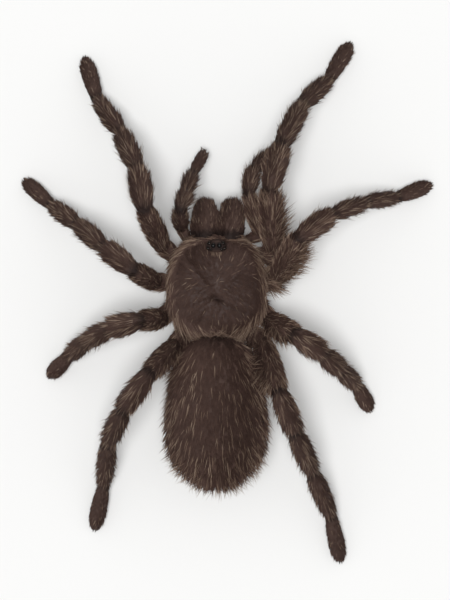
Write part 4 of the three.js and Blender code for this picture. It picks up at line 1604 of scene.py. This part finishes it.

# %% [markdown]
# ## Bending, and the tuft's spot on the flattened skin
#
# Each blade now arches back towards the skin, hardly at its root and most at its tip. None goes through
# the floor that the feet stand on. Every tuft also gets a small spot of its own on a flattened copy of
# the skin, in a UV map called OFBake.

# %% Bending, marking and painting
PATCH = 0.003  # the size of a tuft's spot on the flattened skin
bend = add(BRISTLES, "ShaderNodeMath", {0: read["tip"], 1: read["tip"]}, operation="MULTIPLY")
bend = add(BRISTLES, "ShaderNodeVectorMath", {0: read["arch"], "Scale": bend}, operation="SCALE")
arched = add(BRISTLES, "GeometryNodeSetPosition", {"Geometry": real, "Offset": bend})
corner = add(BRISTLES, "ShaderNodeSeparateXYZ", {0: add(BRISTLES, "GeometryNodeInputPosition")}).outputs
above = add(BRISTLES, "ShaderNodeMath", {0: corner[2], 1: FLOOR_CLEARANCE}, operation="MAXIMUM")
held = add(BRISTLES, "ShaderNodeCombineXYZ", {0: corner[0], 1: corner[1], 2: above})
resting = add(BRISTLES, "GeometryNodeSetPosition", {"Geometry": arched, "Position": held})
leaf = add(
    BRISTLES, "ShaderNodeVectorMath", {0: read["leaf_place"], "Scale": PATCH}, operation="SCALE"
)
baked = add(BRISTLES, "ShaderNodeVectorMath", {0: read["root_place"], 1: leaf}, operation="ADD")
mapped = add(
    BRISTLES,
    "GeometryNodeStoreNamedAttribute",
    {"Geometry": resting, "Name": "OFBake", "Value": baked},
    data_type="FLOAT2",
    domain="CORNER",
)
painted = add(BRISTLES, "GeometryNodeSetMaterial", {"Geometry": mapped, "Material": given["Finish"]})
add(BRISTLES, "NodeGroupOutput", {"Coat": painted})
print("the bristle tree has", len(BRISTLES.nodes), "nodes")

# %% [markdown]
# ## Finishes
#
# All of it is one stuff, insect-like cuticle, in three states. The bristles are dry and matt and carry
# the colour: nearly black at the root, coffee brown along the shaft, and sun-bleached tan on the long
# ones. The skin between them is the same brown, duller and leathery. The carapace is the same again but
# hardened, so it takes a faint polish. Fangs and claws are solid black cuticle, glossy as horn.
#
# Skin and bristles both read the map's tone, which makes whole segments a little paler or darker, and its
# gloom, which darkens the joints and also holds painted shade: on the coxae, at the jaws' bases, under the
# carapace's edges, at the waist and in the fovea. Base colour varies in the tree; roughness and the rest
# are one value each, set on the shader itself.

# %% Bristle: dry cuticle hair, matt, dark at the root and paler along the shaft
COAT_COLOURS = [(0.0, "#45332d"), (0.45, "#513e37"), (0.55, "#624e44"), (0.8, "#7a6556"), (1.0, "#968271")]
ROOT_COLOUR = "#3a2b26"
# the dark of the joints' own skin, used also for painted shade under the carapace, at the jaws, the waist
# and in the fovea
JOINT_AND_SHADE_COLOUR = "#1c1311"
JOINT_AND_SHADE_STRENGTH = 0.85  # how far full gloom turns a colour to the dark of the joints and of the painted shade
ROOT_END = {1: 0.0, 2: 0.4, 3: 0.6, 4: 1.0}  # a bristle's lowest 0.4 passes from root to shaft colour
CUTICLE_IOR = 1.54


def bristle_finish():
    """The one finish of all the coats. Each bristle's shade and tone come from the map."""
    material = bpy.data.materials.new("bristle_dry_cuticle_hair")
    material.use_nodes = True
    tree = material.node_tree
    surface = tree.nodes["Principled BSDF"]
    shade, tip, gloom, tone = (
        add(tree, "ShaderNodeAttribute", attribute_name=name).outputs["Fac"]
        for name in ("shade", "tip", "gloom", "tone")
    )
    shaft = add(tree, "ShaderNodeValToRGB", {"Fac": shade}, COAT_COLOURS)
    shaft = add(tree, "ShaderNodeVectorMath", {0: shaft, "Scale": tone}, operation="SCALE")
    rootward = add(tree, "ShaderNodeMapRange", {"Value": tip, **ROOT_END})
    whole = add(
        tree, "ShaderNodeMix", {0: rootward, 6: colour(ROOT_COLOUR), 7: shaft}, data_type="RGBA"
    ).outputs[2]
    dim = add(tree, "ShaderNodeMath", {0: gloom, 1: JOINT_AND_SHADE_STRENGTH}, operation="MULTIPLY")
    final = add(
        tree, "ShaderNodeMix", {0: dim, 6: whole, 7: colour(JOINT_AND_SHADE_COLOUR)}, data_type="RGBA"
    ).outputs[2]
    tree.links.new(final, surface.inputs["Base Color"])
    surface.inputs["Roughness"].default_value = 0.72
    surface.inputs["IOR"].default_value = CUTICLE_IOR
    surface.inputs["Specular IOR Level"].default_value = 0.15
    return material


# %% Skin: leathery cuticle, brown, finely wrinkled, black in the joints and in places of painted shade
SKIN_COLOURS = [(0.3, "#382823"), (0.5, "#45342e"), (0.7, "#4d3b34")]
SHELL_COLOURS = [(0.3, "#3a2b26"), (0.5, "#41302b"), (0.7, "#46352f")]
BOOK_LUNG_COLOUR = "#6d5744"
BLOTCH_SIZE = 2.5 * MM


def skin_finish(name, steps, roughness, wrinkle_mm, depth_mm):
    """Cuticle with patchy colour and a fine wrinkled surface. The map's gloom darkens the joints and paints
    shade.
    """
    material = bpy.data.materials.new(name)
    material.use_nodes = True
    tree = material.node_tree
    surface = tree.nodes["Principled BSDF"]
    tone, gloom, lungs = (
        add(tree, "ShaderNodeAttribute", attribute_name=name).outputs["Fac"]
        for name in ("tone", "gloom", "lungs")
    )
    place = add(tree, "ShaderNodeTexCoord").outputs["Object"]
    blotches = add(tree, "ShaderNodeTexNoise", {"Vector": place, "Scale": 1 / BLOTCH_SIZE, "Detail": 4.0})
    brown = add(tree, "ShaderNodeValToRGB", {"Fac": blotches}, steps)
    brown = add(tree, "ShaderNodeVectorMath", {0: brown, "Scale": tone}, operation="SCALE")
    dim = add(tree, "ShaderNodeMath", {0: gloom, 1: JOINT_AND_SHADE_STRENGTH}, operation="MULTIPLY")
    shaded = add(
        tree, "ShaderNodeMix", {0: dim, 6: brown, 7: colour(JOINT_AND_SHADE_COLOUR)}, data_type="RGBA"
    ).outputs[2]
    final = add(
        tree, "ShaderNodeMix", {0: lungs, 6: shaded, 7: colour(BOOK_LUNG_COLOUR)}, data_type="RGBA"
    ).outputs[2]
    tree.links.new(final, surface.inputs["Base Color"])
    cells = {"Vector": place, "Scale": 1 / (wrinkle_mm * MM)}
    wrinkles = add(tree, "ShaderNodeTexVoronoi", cells, feature="F1").outputs["Distance"]
    depth = {"Strength": 0.6, "Distance": depth_mm * MM, "Height": wrinkles}
    relief = add(tree, "ShaderNodeBump", depth).outputs[0]
    tree.links.new(relief, surface.inputs["Normal"])
    surface.inputs["Roughness"].default_value = roughness
    surface.inputs["IOR"].default_value = CUTICLE_IOR
    surface.inputs["Specular IOR Level"].default_value = 0.2
    return material


# %% Horn and lens: polished cuticle
HORN_IOR = 1.5
STREAK_SIZE = 0.8 * MM


def polished_finish(name, code, roughness, coat, shine, base_code=None):
    """Smooth cuticle of one colour, or drawn out between two, with the faintest relief."""
    material = bpy.data.materials.new(name)
    material.use_nodes = True
    tree = material.node_tree
    surface = tree.nodes["Principled BSDF"]
    place = add(tree, "ShaderNodeTexCoord").outputs["Object"]
    streaks = add(tree, "ShaderNodeTexNoise", {"Vector": place, "Scale": 1 / STREAK_SIZE, "Detail": 3.0})
    steps = [(0.35, code), (0.75, base_code or code)]
    tone = add(tree, "ShaderNodeValToRGB", {"Fac": streaks}, steps).outputs["Color"]
    tree.links.new(tone, surface.inputs["Base Color"])
    depth = {"Strength": 0.15, "Distance": 0.02 * MM, "Height": streaks}
    relief = add(tree, "ShaderNodeBump", depth).outputs[0]
    tree.links.new(relief, surface.inputs["Normal"])
    surface.inputs["Roughness"].default_value = roughness
    surface.inputs["IOR"].default_value = HORN_IOR
    surface.inputs["Specular IOR Level"].default_value = shine
    surface.inputs["Coat Weight"].default_value = coat
    surface.inputs["Coat Roughness"].default_value = 0.06
    return material


# %% Each finish on its pieces
FINISHES = {
    "bristle": bristle_finish(),
    "skin": skin_finish("cuticle_leathery", SKIN_COLOURS, 0.75, 0.45, 0.06),
    "shell": skin_finish("cuticle_hardened_shell", SHELL_COLOURS, 0.6, 0.3, 0.03),
    "horn": polished_finish("horn_black_cuticle", "#120c0b", 0.22, 0.5, 0.35, "#2c1611"),
    "lens_dark": polished_finish("lens_black_cuticle", "#040303", 0.08, 0.0, 0.25),
    "lens_pale": polished_finish("lens_amber_cuticle", "#0d0907", 0.1, 0.0, 0.25, "#1d140d"),
}
for piece, finish in (
    (skin, "skin"),
    (carapace, "shell"),
    (eye_mound, "skin"),
    (dark_eyes, "lens_dark"),
    (pale_eyes, "lens_pale"),
    (claws, "horn"),
    (fangs[0], "horn"),
    (fangs[1], "horn"),
):
    piece.data.materials.clear()
    piece.data.materials.append(FINISHES[finish])
print("finishes:", ", ".join(finish.name for finish in FINISHES.values()))

# %% [markdown]
# ## Planting the coat
#
# The skin is cut into patches for this step only: a copy of the faces of one or two body parts, with the
# map on them. Each patch grows its coat as one plain mesh, and the patch is thrown away. Two legs share a
# piece, each on its own half of the flattened skin.

# %% Cutting a patch of skin
EDGE_MARGIN = 0.04  # room left round each flattened part
SEAM_ROOM = 0.75  # the share of that room that a face across the seam may take up


def cut_patch(source, part_of, flat, groups):
    """A copy of the source's faces whose points belong to the named parts, one column for each group."""
    mesh = source.data.copy()
    column_of = np.full(len(mesh.vertices), -1)
    for column, names in enumerate(groups):
        column_of[np.isin(part_of, [PARTS.index(name) for name in names])] = column
    write_root_places(mesh, flat)
    places = np.empty(len(mesh.loops) * 2, np.float32)
    mesh.attributes["root_place"].data.foreach_get("vector", places)
    places = places.reshape(-1, 2)
    corners = np.empty(len(mesh.loops), int)
    mesh.loops.foreach_get("vertex_index", corners)
    room = 1 - 2 * EDGE_MARGIN
    beside_seam = np.clip(places[:, 0], -SEAM_ROOM * EDGE_MARGIN, 1 + SEAM_ROOM * EDGE_MARGIN)
    across = (column_of[corners] + EDGE_MARGIN + room * beside_seam) / len(groups)
    upward = EDGE_MARGIN + room * places[:, 1]
    settled = np.column_stack([across, upward]).astype(np.float32)
    mesh.attributes["root_place"].data.foreach_set("vector", settled.ravel())
    shape = bmesh.new()
    shape.from_mesh(mesh)
    gone = [face for face in shape.faces if any(column_of[corner.index] < 0 for corner in face.verts)]
    bmesh.ops.delete(shape, geom=gone, context="FACES")
    shape.to_mesh(mesh)
    shape.free()
    patch = bpy.data.objects.new("patch", mesh)
    bpy.context.scene.collection.objects.link(patch)
    return patch


def covered_area(mesh):
    """The mesh's area in square metres, each face counted by its cover."""
    areas = np.empty(len(mesh.polygons))
    mesh.polygons.foreach_get("area", areas)
    cover = np.empty(len(mesh.vertices))
    mesh.attributes["cover"].data.foreach_get("value", cover)
    per_face = [np.mean([cover[corner] for corner in face.vertices]) for face in mesh.polygons]
    return float(np.sum(areas * np.array(per_face)))


# %% Growing one coat
WORKING_NAMES = (  # what only the tree needs, so it comes off the finished coat
    "lie", "reach", "stand", "cover", "pale", "arch", "leaf_place", "root_place", "lungs", "id",
)
CLUMPING = 0.75  # how nearly the tips of a lock meet
CLUMP_SIZE = 1.6 * MM  # about how wide a patch of pale bristles is


def grow(name, patch, tufts, thickness, unevenness, curl, seed):
    """The coat of one patch, as a plain mesh of about so many tufts."""
    growth = patch.modifiers.new("coat", "NODES")
    growth.node_group = BRISTLES
    settings = {
        "Tufts per square metre": tufts / covered_area(patch.data),
        "Thickness": thickness * MM,
        "Unevenness": unevenness,
        "Curl": curl,
        "Clump size": 1 / CLUMP_SIZE,
        "Clumping": CLUMPING,
        "Seed": seed,
        "Finish": FINISHES["bristle"],
    }
    for key, value in settings.items():
        growth[SOCKETS[key]] = value
    evaluated = patch.evaluated_get(bpy.context.evaluated_depsgraph_get())
    mesh = bpy.data.meshes.new_from_object(evaluated)
    mesh.name = name
    old = patch.data
    bpy.data.objects.remove(patch)
    bpy.data.meshes.remove(old)
    for attribute in WORKING_NAMES:
        if attribute in mesh.attributes:
            mesh.attributes.remove(mesh.attributes[attribute])
    coat = bpy.data.objects.new(name, mesh)
    bpy.context.scene.collection.objects.link(coat)
    print(f"{name}: {triangles_in(coat)} triangles")
    return coat


# %% The coats of the legs, the face, the abdomen and the underside
FACE = [["palp_left"], ["palp_right"], ["chelicera_left"], ["chelicera_right"]]
COATS = {  # parts side by side on the flattened skin, number of tufts, thickness in mm, slot
    "coat_leg_1": ([["leg_1_left"], ["leg_1_right"]], 7400, 0.07, "bristle_coat"),
    "coat_leg_2": ([["leg_2_left"], ["leg_2_right"]], 7300, 0.07, "bristle_coat"),
    "coat_leg_3": ([["leg_3_left"], ["leg_3_right"]], 6400, 0.07, "bristle_coat"),
    "coat_leg_4": ([["leg_4_left"], ["leg_4_right"]], 7700, 0.07, "bristle_coat"),
    "coat_face": (FACE, 5800, 0.052, "bristle_coat"),
    "coat_abdomen": ([["abdomen"]], 7500, 0.08, "abdomen_coat"),
    "coat_underside": ([["trunk"]], 1500, 0.06, "underside_coat"),
}
UNEVENNESS = 0.11
CURL = 0.45
FIRST_SEED = 3
coats = []
for seed, (name, (groups, tufts, thickness, slot)) in enumerate(COATS.items(), start=FIRST_SEED):
    patch = cut_patch(skin, part_of_point, flat_of_point, groups)
    coat = grow(name, patch, tufts, thickness, UNEVENNESS, CURL, seed)
    coats.append(coat)

# %% The carapace's hairs and fringe
SHELL_COAT = {"tufts": 5200, "thickness": 0.07, "unevenness": 0.16, "curl": 0.4, "seed": 29}
all_one_part = np.full(len(shell_flat), PARTS.index("trunk"))
shell_patch = cut_patch(carapace, all_one_part, shell_flat, [["trunk"]])
shell_coat = grow("coat_carapace", shell_patch, **SHELL_COAT)
coats.append(shell_coat)
print("bristles in all:", sum(triangles_in(coat) for coat in coats), "triangles")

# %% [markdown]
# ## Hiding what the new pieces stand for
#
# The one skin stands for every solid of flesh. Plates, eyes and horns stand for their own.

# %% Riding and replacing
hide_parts(*FLESH)
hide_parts("carapace")
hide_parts("eye_mound")
for piece in [skin, carapace, eye_mound, dark_eyes, pale_eyes, *fangs, claws, *coats]:
    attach(piece, "root")

# %% [markdown]
# ## Floor, light and camera
#
# A dark, hairy thing is shown best on pale paper under a big soft light, with enough light from all round
# that the shadows between the bristles stay open. The camera looks straight down through a long lens, as
# for a specimen plate.

# %% The floor
FLOOR_HALF = 1.2
floor = new_piece(
    "floor",
    np.array([[-1, -1, 0], [1, -1, 0], [1, 1, 0], [-1, 1, 0]]) * FLOOR_HALF,
    [(0, 1, 2, 3)],
    smooth=False,
)
if floor.data.polygons[0].normal.z < 0:
    floor.data.flip_normals()
paper = bpy.data.materials.new("paper_matt")
paper.use_nodes = True
paper.node_tree.nodes["Principled BSDF"].inputs["Base Color"].default_value = colour("#f1f1f0")
paper.node_tree.nodes["Principled BSDF"].inputs["Roughness"].default_value = 0.9
floor.data.materials.append(paper)

# %% Lights
ROOM_STRENGTH = 0.46  # white walls and ceiling all round
OVERHEAD_STRENGTH = 2.06  # watts on each square metre of floor
OVERHEAD_ANGLE = 24.0  # degrees: how large the light box looks from below, and so how soft its shadows are
OVERHEAD_TILT = (-5.0, 4.0)  # degrees that it stands to the front and to the side of straight above
world = bpy.data.worlds.new("studio")
world.use_nodes = True
world.node_tree.nodes["Background"].inputs["Color"].default_value = colour("#ffffff")
world.node_tree.nodes["Background"].inputs["Strength"].default_value = ROOM_STRENGTH
bpy.context.scene.world = world

box_light = bpy.data.lights.new("overhead_light_box", "SUN")
box_light.energy = OVERHEAD_STRENGTH
box_light.angle = math.radians(OVERHEAD_ANGLE)
overhead = bpy.data.objects.new("overhead_light_box", box_light)
overhead.location = (0, 0, 1)
overhead.rotation_euler = (math.radians(OVERHEAD_TILT[0]), math.radians(OVERHEAD_TILT[1]), 0)
bpy.context.scene.collection.objects.link(overhead)
bpy.context.scene.view_settings.view_transform = "Standard"

# %% The camera
VIEW_HEIGHT = 120.0  # mm of floor from the top to the bottom of the view
VIEW_CENTRE = (0.4, -0.4)  # mm
SENSOR, LENS = 36.0, 200.0
MIDDLE_HEIGHT = 6.0  # mm above the floor at which the view has that height
camera = bpy.data.cameras.new("camera")
camera.sensor_width = SENSOR
camera.lens = LENS
camera_object = bpy.data.objects.new("camera", camera)
distance = VIEW_HEIGHT * LENS / SENSOR + MIDDLE_HEIGHT
camera_object.location = (VIEW_CENTRE[0] * MM, VIEW_CENTRE[1] * MM, distance * MM)
camera_object.rotation_euler = (0, 0, math.pi)
camera.clip_start, camera.clip_end = 0.01, 10
bpy.context.scene.collection.objects.link(camera_object)
bpy.context.scene.camera = camera_object
